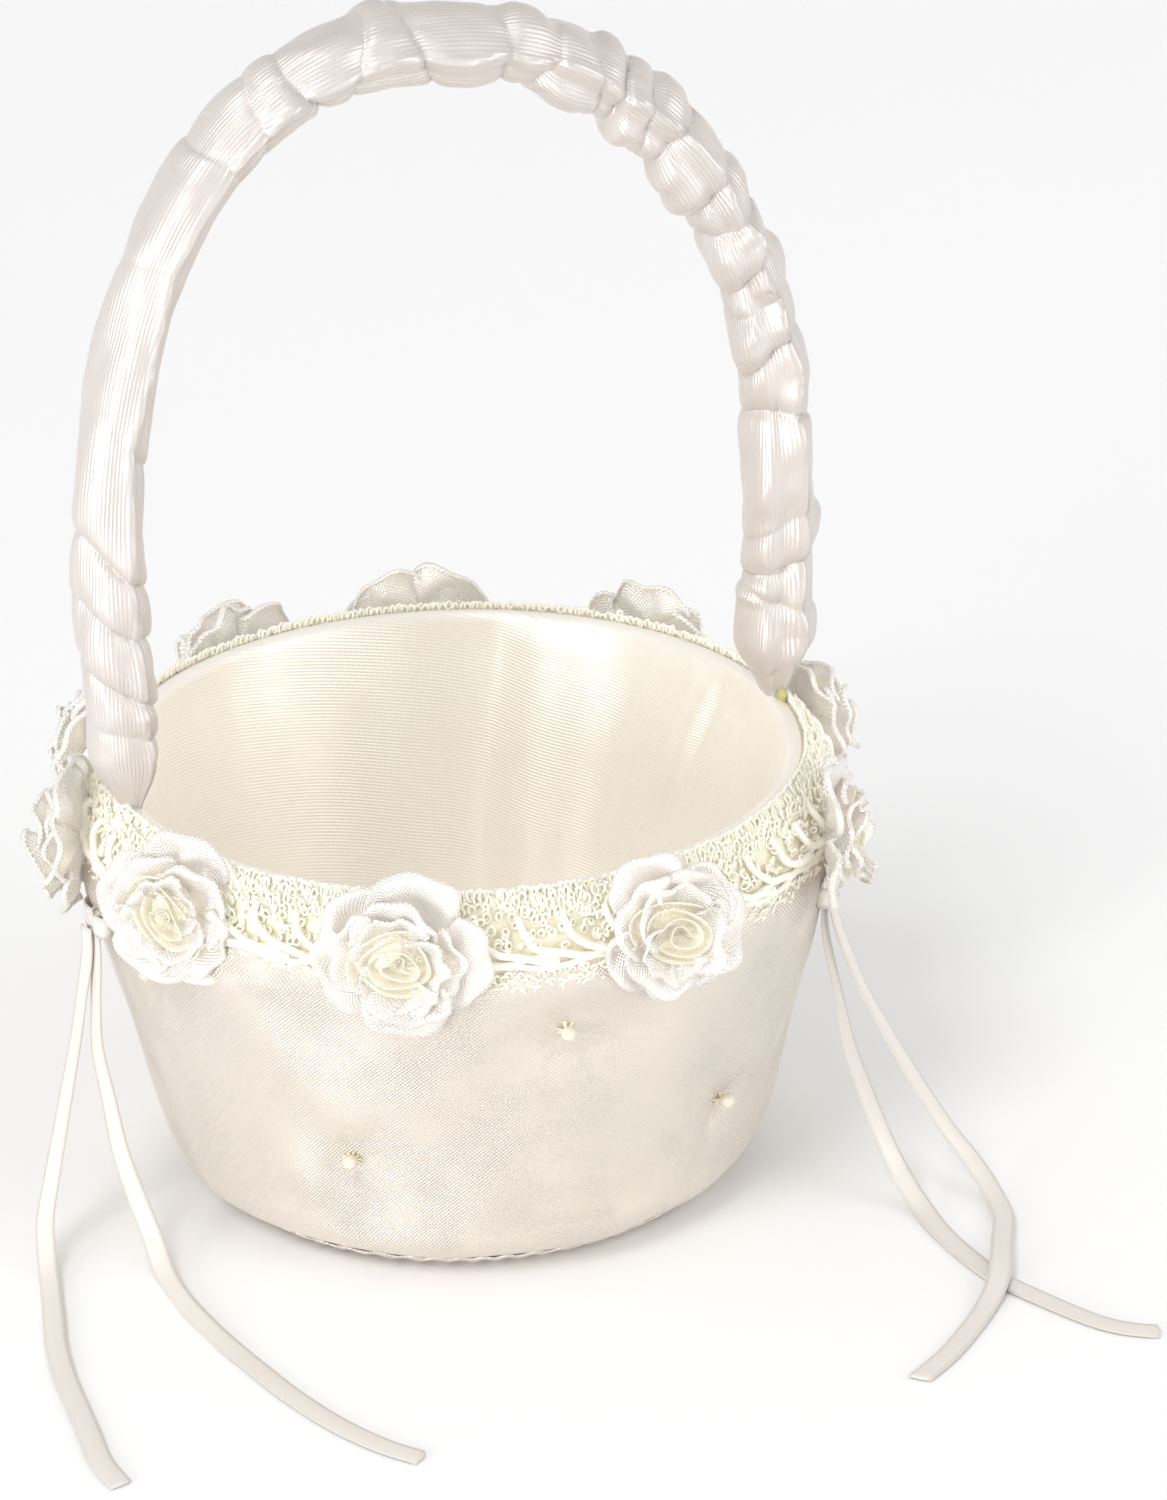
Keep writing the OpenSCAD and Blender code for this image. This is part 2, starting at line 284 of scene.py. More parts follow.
class Mixer:
    """A node material while it is mixed."""

    def __init__(self, name: str) -> None:
        """Starts an empty material of that name."""
        self.material = bpy.data.materials.new(name)
        self.material.use_nodes = True
        self.tree = self.material.node_tree
        self.tree.nodes.clear()

    def node(self, kind: str, inputs: dict[str | int, object] | None = None,
             **settings: object) -> bpy.types.Node:
        """Adds a node.

        Args:
            kind: The node's type, without its ShaderNode prefix.
            inputs: Values or sockets for its inputs, by name or number.
            settings: The node's own properties.
        Returns:
            The node.
        """
        node = self.tree.nodes.new("ShaderNode" + kind)
        for name, value in settings.items():
            setattr(node, name, value)
        for name, value in (inputs or {}).items():
            if isinstance(value, bpy.types.NodeSocket):
                self.tree.links.new(value, node.inputs[name])
            else:
                node.inputs[name].default_value = value
        return node

    def sum(self, operation: str, *values: object) -> Socket:
        """Does one step of arithmetic and returns its socket."""
        node = self.node("Math", dict(enumerate(values)), operation=operation)
        return node.outputs[0]

    def noise(self, scale: float, detail: float = 3.0) -> Socket:
        """Gives a noise value of that many cycles per metre over the object."""
        place = self.node("TexCoord").outputs["Object"]
        noise = self.node("TexNoise", {"Vector": place, "Scale": scale, "Detail": detail})
        return noise.outputs["Fac"]

    def blend(self, share: object, first: Sequence[float], second: Sequence[float]) -> Socket:
        """Blends two colours by a share."""
        node = self.node("Mix", {0: share, 6: (*first, 1), 7: (*second, 1)}, data_type="RGBA")
        return node.outputs[2]

    def rise(self, value: Socket, low: float, high: float,
             out: tuple[float, float] = (0.0, 1.0)) -> Socket:
        """Maps a value from one range to another and clamps it."""
        node = self.node("MapRange", {0: value, 1: low, 2: high, 3: out[0], 4: out[1]})
        return node.outputs[0]

    def finish(self, colour: object, roughness: object, height: Socket | None = None,
               depth: float = 0.0, **constants: object) -> bpy.types.Material:
        """Closes the material with its shader.

        Args:
            colour: The base colour, a socket or three numbers.
            roughness: The roughness, a socket or a number.
            height: The bump's height from 0 to 1.
            depth: The bump's depth in mm.
            constants: Fixed values of the shader's other sockets.
        Returns:
            The finished material.
        """
        inputs = {"Base Color": colour if isinstance(colour, Socket) else (*colour, 1),
                  "Roughness": roughness}
        inputs.update({name.replace("_", " "): value for name, value in constants.items()})
        if height is not None:
            bump = self.node("Bump", {"Height": height, "Distance": depth * MM, "Strength": 1.0})
            inputs["Normal"] = bump.outputs[0]
        shader = self.node("BsdfPrincipled", inputs)
        self.node("OutputMaterial", {"Surface": shader.outputs[0]})
        return self.material


@dataclass(frozen=True)
class Satin:
    """Polyester satin, with its threads on the cloth's own UV map.

    The threads lie a little wider apart than real ones, so that they show.

    Attributes:
        name: The material's name.
        colour: The lit colour.
        shade: The darker, warmer colour, laid in random patches and, as painted shade, down between
            the threads.
        weave: How the threads show.
        pitch: The distance between threads in mm.
        depth: How deep the threads are in mm.
        gloss: The roughness.
        sheen: The amount of sheen.
        anisotropy: How far the gloss is drawn out along the threads.
        grain: The turn of the threads that draw the gloss out, in whole turns.
        lustre: How far the threads reflect like a metal.
        painted_glow: The strength of a painted glow, an emission in the cloth's own colour that stands
            for light coming through thin cloth.
    """

    name: str
    colour: tuple[float, float, float]
    shade: tuple[float, float, float]
    weave: Weave
    pitch: float = 0.7
    depth: float = 0.05
    gloss: float = 0.38
    sheen: float = 0.25
    anisotropy: float = 0.4
    grain: float = 0.0
    lustre: float = 0.35
    painted_glow: float = 0.0

    def threads(self, mix: Mixer) -> Socket:
        """Gives the height of the threads, from -1 to 1."""
        uv = mix.node("UVMap").outputs[0]
        axes = mix.node("SeparateXYZ", {0: uv}).outputs
        turn = TAU / self.pitch
        u = mix.sum("MULTIPLY", axes[0], turn)
        v = mix.sum("MULTIPLY", axes[1], turn)
        if self.weave is Weave.PLAIN:
            return mix.sum("MULTIPLY", mix.sum("SINE", u), mix.sum("SINE", v))
        slant = mix.sum("MULTIPLY", u, 0.22 if self.weave is Weave.TWILL else 0.0)
        rib = mix.sum("SINE", mix.sum("ADD", v, slant))
        fine = mix.sum("MULTIPLY", mix.sum("SINE", mix.sum("MULTIPLY", u, 1.6)), 0.3)
        return mix.sum("ADD", rib, fine)

    def make(self) -> bpy.types.Material:
        """Mixes the satin."""
        mix = Mixer(self.name)
        threads = self.threads(mix)
        patch = mix.rise(mix.noise(70, 2), 0.35, 0.65, (0.35, 1.0))
        raised = mix.sum("MULTIPLY", threads, patch)
        height = mix.rise(raised, -1, 1)
        tone = mix.sum("MULTIPLY", mix.noise(38, 4), 0.55)
        # Painted shade: the colour darkens down between the threads and lightens on their tops, over
        # random tone patches.
        share = mix.sum("SUBTRACT", mix.sum("ADD", tone, 0.35), mix.sum("MULTIPLY", raised, 0.22))
        colour = mix.blend(share, self.colour, self.shade)
        rough = mix.rise(raised, -1, 1, (self.gloss + 0.08, self.gloss - 0.06))
        # Painted glow: a weak emission in the satin's own colour stands for light coming through thin
        # cloth; the cloth is no lamp.
        return mix.finish(colour, rough, height, self.depth, Sheen_Weight=self.sheen,
                          Sheen_Roughness=0.4, Anisotropic=self.anisotropy,
                          Anisotropic_Rotation=self.grain, Specular_IOR_Level=0.6,
                          Metallic=self.lustre,
                          Emission_Color=(*self.colour, 1), Emission_Strength=self.painted_glow)


@dataclass(frozen=True)
class RibbonSatin:
    """Narrow satin ribbon: a smooth glossy middle between speckled woven edges.

    Attributes:
        name: The material's name.
        width: The ribbon's width in mm.
        colour: The colour of the middle.
        edge: The darker colour in the woven edges.
    """

    name: str
    width: float
    colour: tuple[float, float, float] = (0.75, 0.705, 0.655)
    edge: tuple[float, float, float] = (0.62, 0.585, 0.54)

    def make(self) -> bpy.types.Material:
        """Mixes the ribbon satin."""
        mix = Mixer(self.name)
        axes = mix.node("SeparateXYZ", {0: mix.node("UVMap").outputs[0]}).outputs
        off = mix.sum("ABSOLUTE", mix.sum("SUBTRACT", axes[1], self.width / 2))
        edge = mix.rise(off, self.width * 0.32, self.width * 0.36)
        knots = mix.sum("MULTIPLY", mix.sum("SINE", mix.sum("MULTIPLY", axes[0], TAU / 0.9)),
                        mix.sum("SINE", mix.sum("MULTIPLY", axes[1], TAU / 0.55)))
        floats = mix.sum("MULTIPLY", mix.sum("SINE", mix.sum("MULTIPLY", axes[1], TAU / 0.3)), 0.2)
        raised = mix.sum("ADD", mix.sum("MULTIPLY", knots, edge), floats)
        share = mix.sum("MULTIPLY", edge, mix.rise(knots, -1, 1, (0.9, 0.1)))
        return mix.finish(mix.blend(share, self.colour, self.edge),
                          mix.rise(edge, 0, 1, (0.24, 0.5)), mix.rise(raised, -1.2, 1.2), 0.08,
                          Sheen_Weight=0.2, Anisotropic=0.6)


@dataclass(frozen=True)
class Gimp:
    """Shiny rayon cord, twisted fine.

    Attributes:
        name: The material's name.
        colour: The lit colour.
        shade: The yellower colour, laid in random clouds and, as painted shade, down between the
            strands.
        twist: Strand ridges per metre.
        gloss: The roughness.
        painted_glow: The strength of a painted glow, an emission in the cord's own colour that stands
            for light coming through fine strands.
    """

    name: str
    colour: tuple[float, float, float]
    shade: tuple[float, float, float]
    twist: float = 1500.0
    gloss: float = 0.3
    painted_glow: float = 0.12

    def make(self) -> bpy.types.Material:
        """Mixes the cord."""
        mix = Mixer(self.name)
        place = mix.node("TexCoord").outputs["Object"]
        strands = mix.node("TexWave", {"Vector": place, "Scale": self.twist / TAU,
                                       "Distortion": 1.5, "Detail": 1.0},
                           wave_type="BANDS", bands_direction="DIAGONAL").outputs["Fac"]
        cloud = mix.rise(mix.noise(260, 3), 0.35, 0.7)
        # Painted shade: the colour goes yellower down between the strands, over random clouds.
        share = mix.sum("ADD", mix.sum("MULTIPLY", cloud, 0.7),
                        mix.sum("MULTIPLY", strands, 0.15))
        # Painted glow: a weak emission in the cord's own colour stands for light coming through fine
        # strands; the cord is no lamp.
        return mix.finish(mix.blend(share, self.colour, self.shade), self.gloss, strands, 0.06,
                          Sheen_Weight=0.2, Specular_IOR_Level=0.8,
                          Emission_Color=(*self.colour, 1), Emission_Strength=self.painted_glow)


@dataclass(frozen=True)
class Pearl:
    """A small glass pearl: a cream body under a clear glossy coat.

    Attributes:
        name: The material's name.
        colour: The main colour.
        shade: The deeper cream of its clouds.
    """

    name: str = "pearl_cream"
    colour: tuple[float, float, float] = (0.82, 0.76, 0.64)
    shade: tuple[float, float, float] = (0.72, 0.64, 0.50)

    def make(self) -> bpy.types.Material:
        """Mixes the pearl."""
        mix = Mixer(self.name)
        cloud = mix.rise(mix.noise(900, 2), 0.3, 0.7)
        body = mix.blend(cloud, self.colour, self.shade)
        return mix.finish(body, 0.22, mix.noise(1600, 2), 0.01, Coat_Weight=0.8,
                          Coat_Roughness=0.06, Specular_IOR_Level=0.6)


@dataclass(frozen=True)
class Plain:
    """A moulded, bonded or spun stuff with an uneven surface.

    Attributes:
        name: The material's name.
        colour: The main colour.
        shade: The colour of its uneven patches.
        grain: Cycles of the grain per metre.
        depth: How deep the grain is in mm.
        gloss: The roughness.
    """

    name: str
    colour: tuple[float, float, float]
    shade: tuple[float, float, float]
    grain: float = 400.0
    depth: float = 0.05
    gloss: float = 0.5

    def make(self) -> bpy.types.Material:
        """Mixes the stuff."""
        mix = Mixer(self.name)
        grain = mix.noise(self.grain, 5)
        return mix.finish(mix.blend(grain, self.colour, self.shade), self.gloss, grain, self.depth)


# The lining, rose and heart satins and the gimp cords carry a painted glow: a weak emission that
# stands for light passing through thin cloth.
COVER_SATIN = Satin("cover_satin", (0.84, 0.775, 0.705), (0.77, 0.695, 0.61), Weave.PLAIN,
                    pitch=0.95, depth=0.36, gloss=0.35, anisotropy=0.7, grain=0.25, lustre=0.6)
LINING_SATIN = Satin("lining_satin", (0.96, 0.925, 0.865), (0.925, 0.875, 0.79), Weave.TWILL,
                     pitch=0.8, depth=0.08, gloss=0.36, anisotropy=0.7, grain=0.25, lustre=0.45,
                     painted_glow=0.07)
SLEEVE_SATIN = Satin("sleeve_satin", (0.71, 0.66, 0.63), (0.64, 0.585, 0.55), Weave.RIBBED,
                     pitch=0.9, depth=0.09, gloss=0.36, anisotropy=0.2, lustre=0.4)
ROSE_SATIN = Satin("rose_satin", (0.82, 0.785, 0.75), (0.77, 0.73, 0.675), Weave.PLAIN,
                   pitch=0.9, depth=0.26, gloss=0.2, anisotropy=0.2, lustre=0.45, painted_glow=0.2)
HEART_SATIN = Satin("rose_heart_satin", (0.83, 0.79, 0.70), (0.81, 0.755, 0.60), Weave.PLAIN,
                    pitch=0.85, depth=0.2, gloss=0.22, anisotropy=0.2, lustre=0.4, painted_glow=0.18)
BRAID_CORD = Gimp("braid_cord", (0.92, 0.89, 0.80), (0.90, 0.85, 0.72))
BRAID_LOOPS = Gimp("braid_loops", (0.92, 0.89, 0.79), (0.89, 0.84, 0.68), twist=2200, gloss=0.2)
BRAID_TAPE = Plain("braid_ground", (0.90, 0.86, 0.72), (0.86, 0.81, 0.62), 900, 0.25, 0.6)
THREAD = Gimp("thread", (0.82, 0.77, 0.60), (0.74, 0.66, 0.42), twist=2600)
BATTING = Plain("batting", (0.85, 0.85, 0.84), (0.76, 0.76, 0.75), 240, 0.6, 0.95)
PLASTIC = Plain("form_plastic", (0.70, 0.66, 0.58), (0.66, 0.61, 0.53), 60, 0.03, 0.4)
CORE_PLASTIC = Plain("core_plastic", (0.62, 0.62, 0.60), (0.56, 0.56, 0.54), 80, 0.02, 0.35)
GLUE = Plain("glue", (0.62, 0.56, 0.27), (0.52, 0.46, 0.18), 500, 0.1, 0.15)


@dataclass(frozen=True)
class Wardrobe:
    """The materials, each mixed once."""

    cover: bpy.types.Material
    lining: bpy.types.Material
    sleeve: bpy.types.Material
    rose: bpy.types.Material
    heart: bpy.types.Material
    cord: bpy.types.Material
    loops: bpy.types.Material
    tape: bpy.types.Material
    thread: bpy.types.Material
    batting: bpy.types.Material
    plastic: bpy.types.Material
    core: bpy.types.Material
    glue: bpy.types.Material
    pearl: bpy.types.Material
    ribbon: bpy.types.Material

    @classmethod
    def mixed(cls, ribbon_width: float) -> "Wardrobe":
        """Mixes every finish, with the ribbon's edges set by its width in mm."""
        return cls(COVER_SATIN.make(), LINING_SATIN.make(), SLEEVE_SATIN.make(),
                   ROSE_SATIN.make(), HEART_SATIN.make(), BRAID_CORD.make(), BRAID_LOOPS.make(),
                   BRAID_TAPE.make(), THREAD.make(), BATTING.make(), PLASTIC.make(),
                   CORE_PLASTIC.make(), GLUE.make(), Pearl().make(),
                   RibbonSatin("tail_ribbon", ribbon_width).make())


def settle(piece: bpy.types.Object, material: bpy.types.Material, slot: str,
           *nodes: str) -> bpy.types.Object:
    """Dresses a finished piece and hands it to the frame.

    Args:
        piece: The finished piece.
        material: Its finish.
        slot: The name of its material slot; not used.
        nodes: The CAD nodes that it stands for.
    Returns:
        The same piece.
    """
    piece.data.materials.clear()
    piece.data.materials.append(material)
    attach(piece, BODY)
    if nodes:
        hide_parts(*nodes)
    log.info("%s: %d faces", piece.name, len(piece.data.polygons))
    return piece


# ---- The bowl's outline, shared by all that is sewn to it ----


@dataclass(frozen=True)
class BowlShape:
    """The outline of the bowl, in mm.

    Attributes:
        height: The rim above the table.
        belly_r: The cover's radius at the lower edge of the braid.
        mouth_r: The radius of the open mouth.
        foot_r: The radius of the flat base cover.
        bottom: The underside of the cover.
        base_r: The cover's radius just above its lower corner.
        corner_r: The radius of that corner.
        braid_h: The height of the braid.
        lining_top_r: The lining's radius where it bends over to the rim.
        lining_slope: How far the lining leans out for each mm up.
        bend: How far that bend lies below the rim.
    """

    height: float
    belly_r: float
    mouth_r: float
    foot_r: float
    bottom: float
    base_r: float = 66.5
    corner_r: float = 13.0
    braid_h: float = 20.0
    lining_top_r: float = 72.6
    lining_slope: float = 0.224
    bend: float = 8.0

    @classmethod
    def from_frame(cls) -> "BowlShape":
        """Reads the driving sizes off the CAD nodes."""
        low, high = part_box("outer_cover")
        rim_gap = 0.2
        return cls(high[2] / MM, high[0] / MM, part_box("lining_wall")[1][0] / MM + rim_gap,
                   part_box("base_cover")[1][0] / MM, low[2] / MM)

    @property
    def belly_z(self) -> float:
        """The height of the braid's lower edge."""
        return self.height - self.braid_h

    @property
    def corner_z(self) -> float:
        """The height at which the lower corner meets the flank."""
        return self.bottom + self.corner_r

    def cover_r(self, z: Array | float) -> Array | float:
        """The flank's radius at a height."""
        share = (z - self.corner_z) / (self.belly_z - self.corner_z)
        return self.base_r + (self.belly_r - self.base_r) * share

    def lining_r(self, z: Array | float) -> Array | float:
        """The lining's radius at a height below its bend."""
        return self.lining_top_r - (self.height - self.bend - z) * self.lining_slope

    def shoulder(self, climb: Array, out: Array | float) -> Array:
        """Radius and height on the padded shoulder, by mm climbed from the braid's lower edge."""
        rise = np.clip(climb / self.braid_h, 0.0, 1.0)
        r = self.mouth_r + (self.belly_r - self.mouth_r + out) * np.sqrt(1 - rise ** 2)
        return np.column_stack([r, self.belly_z + (self.braid_h + out) * rise])

    def on_braid(self, angle: Array, climb: Array, out: Array | float) -> Array:
        """Places on the braid by angle in radians, mm climbed and mm outwards."""
        spot = self.shoulder(np.asarray(climb, float), out)
        return np.column_stack([spot[:, 0] * np.cos(angle), spot[:, 0] * np.sin(angle), spot[:, 1]])

    def skin(self) -> Array:
        """The cover's outline from under the base to the rim, as radius and height."""
        turn = np.radians(np.linspace(-90, 0, 19))
        corner = np.column_stack([self.base_r - self.corner_r + self.corner_r * np.cos(turn),
                                  self.corner_z + self.corner_r * np.sin(turn)])
        climb = self.braid_h * np.sin(np.radians(np.linspace(0, 90, 19)))
        return np.vstack([[self.foot_r - 4, self.bottom], corner, self.shoulder(climb, 0.0)])


def outline_at(line: Array, t: Array) -> tuple[Array, Array]:
    """Gives places on an outline and the outward directions there.

    Args:
        line: The outline's (n, 2) radius and height, going up the outside.
        t: Shares of its length, from 0 to 1.
    Returns:
        The (n, 2) places and the (n, 2) directions.
    """
    step = 0.004
    ahead = along(line, np.clip(t + step, 0, 1)) - along(line, np.clip(t - step, 0, 1))
    way = unit(ahead)
    return along(line, t), np.column_stack([way[:, 1], -way[:, 0]])


def ring(spots: Array, angle: Array) -> Array:
    """Turns (n, 2) radius and height about Z by angles in radians."""
    return np.column_stack([spots[:, 0] * np.cos(angle), spots[:, 0] * np.sin(angle), spots[:, 1]])


# ---- Ribbon tails ----


@dataclass(frozen=True)
class Tail:
    """One ribbon tail, with its route from the knot to the cut end in mm.

    Attributes:
        node: The CAD node of the tail.
        length: Its real length in metres; not used.
        face: The way its face looks while it hangs.
        route: The points it follows.
    """

    node: str
    length: float
    face: tuple[float, float, float]
    route: tuple[tuple[float, float, float], ...]


LEFT_FACE = (-1.0, -0.15, 0.0)
RIGHT_FACE = (0.8, -0.6, 0.0)
TAILS = (
    Tail("ribbon_left_outer", 0.171, LEFT_FACE, (
        (-87.5, -1, 72.5), (-88, -2, 66), (-90, -3, 57), (-92, -4, 48), (-95, -6, 38),
        (-98, -8, 28), (-101, -10, 18), (-104, -13, 9), (-106, -20, 2.5), (-108, -29, 0.6),
        (-111, -41, 0.6), (-114, -53, 0.6), (-116, -66, 0.6), (-117, -78, 0.6),
        (-118, -90, 0.6), (-119, -102, 0.6), (-118, -113, 0.6))),
    Tail("ribbon_left_inner", 0.181, LEFT_FACE, (
        (-86, -2, 72.5), (-86.5, -4, 66), (-88, -7, 56), (-89, -10, 47), (-88, -13, 36),
        (-87, -16, 25), (-85, -19, 15), (-83, -24, 6), (-83, -32, 1.4), (-83, -43, 0.6),
        (-82, -54, 0.6), (-80, -66, 0.6), (-77, -79, 0.6), (-74, -92, 0.6), (-69, -107, 0.6),
        (-63, -119, 0.6), (-57, -127, 0.6))),
    Tail("ribbon_right_inner", 0.155, RIGHT_FACE, (
        (67, -51, 72.5), (67, -52, 63), (69, -54, 50), (71, -56, 37), (74, -58, 26),
        (77, -60, 16), (80, -64, 7), (82, -71, 1.6), (82, -82, 0.6), (83, -95, 0.6),
        (85, -106, 0.6), (90, -118, 0.6), (96, -130, 0.6), (101, -136, 0.6), (107, -140, 0.6))),
    Tail("ribbon_right_outer", 0.168, RIGHT_FACE, (
        (68, -52.2, 72.5), (70, -53, 64), (75, -54, 50), (81, -56, 37), (87, -58, 25),
        (93, -60, 14), (98, -64, 6), (99, -72, 2), (97, -82, 1.4), (92, -92, 2.2),
        (87, -102, 2.8), (83, -109, 2), (77, -116, 0.9), (70, -123, 0.6), (61, -131, 0.6),
        (51, -138, 0.6))),
)


@dataclass(frozen=True)
class RibbonTails:
    """The four tails and the two knots that they hang from.

    Attributes:
        width: The ribbon's width in mm.
        thickness: The ribbon's thickness in mm.
        knot_z: The height of the knots.
        knot_out: How far the middle of a knot stands out from the cover's belly.
        knots: The angle of each knot and its CAD node.
    """

    width: float = 5.0
    thickness: float = 0.4
    knot_z: float = 74.4
    knot_out: float = 0.6
    knots: tuple[tuple[float, str], ...] = ((181.0, "ribbon_knot_left"),
                                            (-37.5, "ribbon_knot_right"))

    def strip(self, name: str, line: Array, faces: Array, rows: int = 6) -> bpy.types.Object:
        """Lays a flat strip of ribbon along a line.

        Args:
            name: The new piece's name.
            line: The strip's middle line in mm.
            faces: The way its face looks at each point of the line.
            rows: Faces across the strip.
        Returns:
            The strip, with its thickness.
        """
        way = unit(np.gradient(line, axis=0))
        across = unit(np.cross(way, faces))
        normal = np.cross(across, way)
        length = run_length(line)
        crown = 0.25

        def place(u: Array, v: Array) -> Array:
            """Puts a point of the strip on its line."""
            side = 2 * v - 1
            slant = 0.35 * self.width * (v - 0.5) / length * smooth_step((u - 0.9) / 0.1)
            t = np.clip(u + slant, 0, 1)
            lift = crown * (1 - side ** 2)
            return (along(line, t) + along(across, t) * (side * self.width / 2)[:, None]
                    + along(normal, t) * lift[:, None])

        strip = lay_grid(name, len(line) - 1, rows, place, (length, self.width))
        apply_modifier(strip, "SOLIDIFY", thickness=self.thickness * MM, offset=0)
        return strip

    def build_tail(self, tail: Tail, material: bpy.types.Material) -> None:
        line = fair(tail.route, 1.5)
        lie = smooth_step((line[:, 2] - 1.5) / 16)[:, None]
        faces = unit(np.array(tail.face) * lie + np.array((0, 0, 1.0)) * (1 - lie))
        piece = self.strip(tail.node + "_satin", line, faces)
        settle(piece, material, "tail_ribbon", tail.node)

    def build_knot(self, shape: BowlShape, angle: float, node: str,
                   material: bpy.types.Material) -> None:
        """Builds one knot: two small loops pulled through a wrapped turn."""
        turn = np.linspace(0, TAU, 25)
        zero = np.zeros_like(turn)
        parts = []
        for side, tilt in ((-1, 0.5), (1, -0.3)):
            loop = np.column_stack([1.3 + 1.7 * np.cos(turn),
                                    side * (2.6 + 2.9 * np.sin(turn)), tilt * np.sin(turn)])
            face = np.column_stack([np.cos(turn), side * np.sin(turn), zero])
            parts.append(self.strip("loop", loop, face, 3))
        wrap = np.column_stack([1.2 + 1.9 * np.cos(turn), 0.3 * np.sin(turn),
                                1.7 * np.sin(turn)])
        parts.append(self.strip("wrap", wrap, np.column_stack([np.cos(turn), zero,
                                                               np.sin(turn)]), 3))
        knot = join(node + "_satin", parts)
        spot = (Matrix.Rotation(math.radians(angle), 4, "Z")
                @ Matrix.Translation(Vector((shape.belly_r + self.knot_out, 0, self.knot_z)) * MM))
        knot.data.transform(spot)
        settle(knot, material, "tail_ribbon", node)

    def build(self, shape: BowlShape, wardrobe: Wardrobe) -> None:
        """Builds the tails and then the knots."""
        for tail in TAILS:
            self.build_tail(tail, wardrobe.ribbon)
        for angle, node in self.knots:
            self.build_knot(shape, angle, node, wardrobe.ribbon)


# ---- Pearls, and the cover that they draw in ----


@dataclass(frozen=True)
class PearlRow:
    """Where the pearls are sewn, in a zigzag round the bowl.

    Attributes:
        count: How many pearls go round.
        start: The angle of the first in degrees.
        low_z: The height of every other pearl in mm, from the first on.
        high_z: The height of the rest.
        rays: How many threads run out under each pearl.
    """

    count: int = 10
    start: float = 230.0
    low_z: float = 33.0
    high_z: float = 68.0
    rays: int = 9

    def spots(self) -> list[tuple[float, float]]:
        """The angle in radians and the height in mm of each pearl."""
        step = 360 / self.count
        return [(math.radians(self.start + k * step), self.high_z if k % 2 else self.low_z)
                for k in range(self.count)]

    def build(self, shape: BowlShape, wardrobe: Wardrobe) -> None:
        """Lays the sewing threads under the pearls."""
        rng = np.random.default_rng(12)
        runs = []
        for angle, z in self.spots():
            for k in range(self.rays):
                way = TAU * k / self.rays + rng.uniform(-0.3, 0.3)
                t = np.linspace(0, 1, 6)
                reach = rng.uniform(1.5, 2.2) * t
                turn = angle + reach * math.cos(way) / shape.cover_r(z)
                height = z + reach * math.sin(way)
                spot = np.column_stack([shape.cover_r(height) + 0.7 - 0.5 * t, height])
                runs.append(ring(spot, turn))
        threads = lay_cords("pearl_threads", runs, 0.26)
        settle(threads, wardrobe.thread, "thread", "pearl_knots")


@dataclass(frozen=True)
class Pull:
    """A crease that runs out from a pearl over the cover.

    Attributes:
        pearl: The pearl's number in its row.
        way: Its direction in degrees, where 0 runs to the right and 90 up.
        length: Its length in mm.
        depth: Its depth in mm, or its height if it is below 0.
        width: Its half width in mm.
    """

    pearl: int
    way: float
    length: float
    depth: float
    width: float


PULLS = (
    Pull(0, 232, 26, 1.1, 3.0), Pull(0, 52, 24, 0.9, 5.0), Pull(0, 10, 20, 0.5, 3.5),
    Pull(0, 150, 16, 0.5, 4.0), Pull(1, 222, 20, 0.8, 4.5), Pull(1, -30, 22, 0.7, 4.5),
    Pull(1, 25, 18, 0.6, 3.5), Pull(2, 160, 20, 0.7, 4.5), Pull(2, 40, 16, 0.6, 4.0),
    Pull(2, 255, 18, 0.8, 3.5), Pull(3, 215, 20, 0.7, 4.0), Pull(4, 60, 24, 0.8, 4.5),
    Pull(5, 235, 22, 0.8, 4.0), Pull(6, 120, 22, 0.7, 4.5), Pull(7, -50, 22, 0.7, 4.0),
    Pull(8, 230, 24, 0.9, 4.0), Pull(9, 60, 16, 0.6, 4.0), Pull(9, 235, 20, 0.8, 4.0),
)


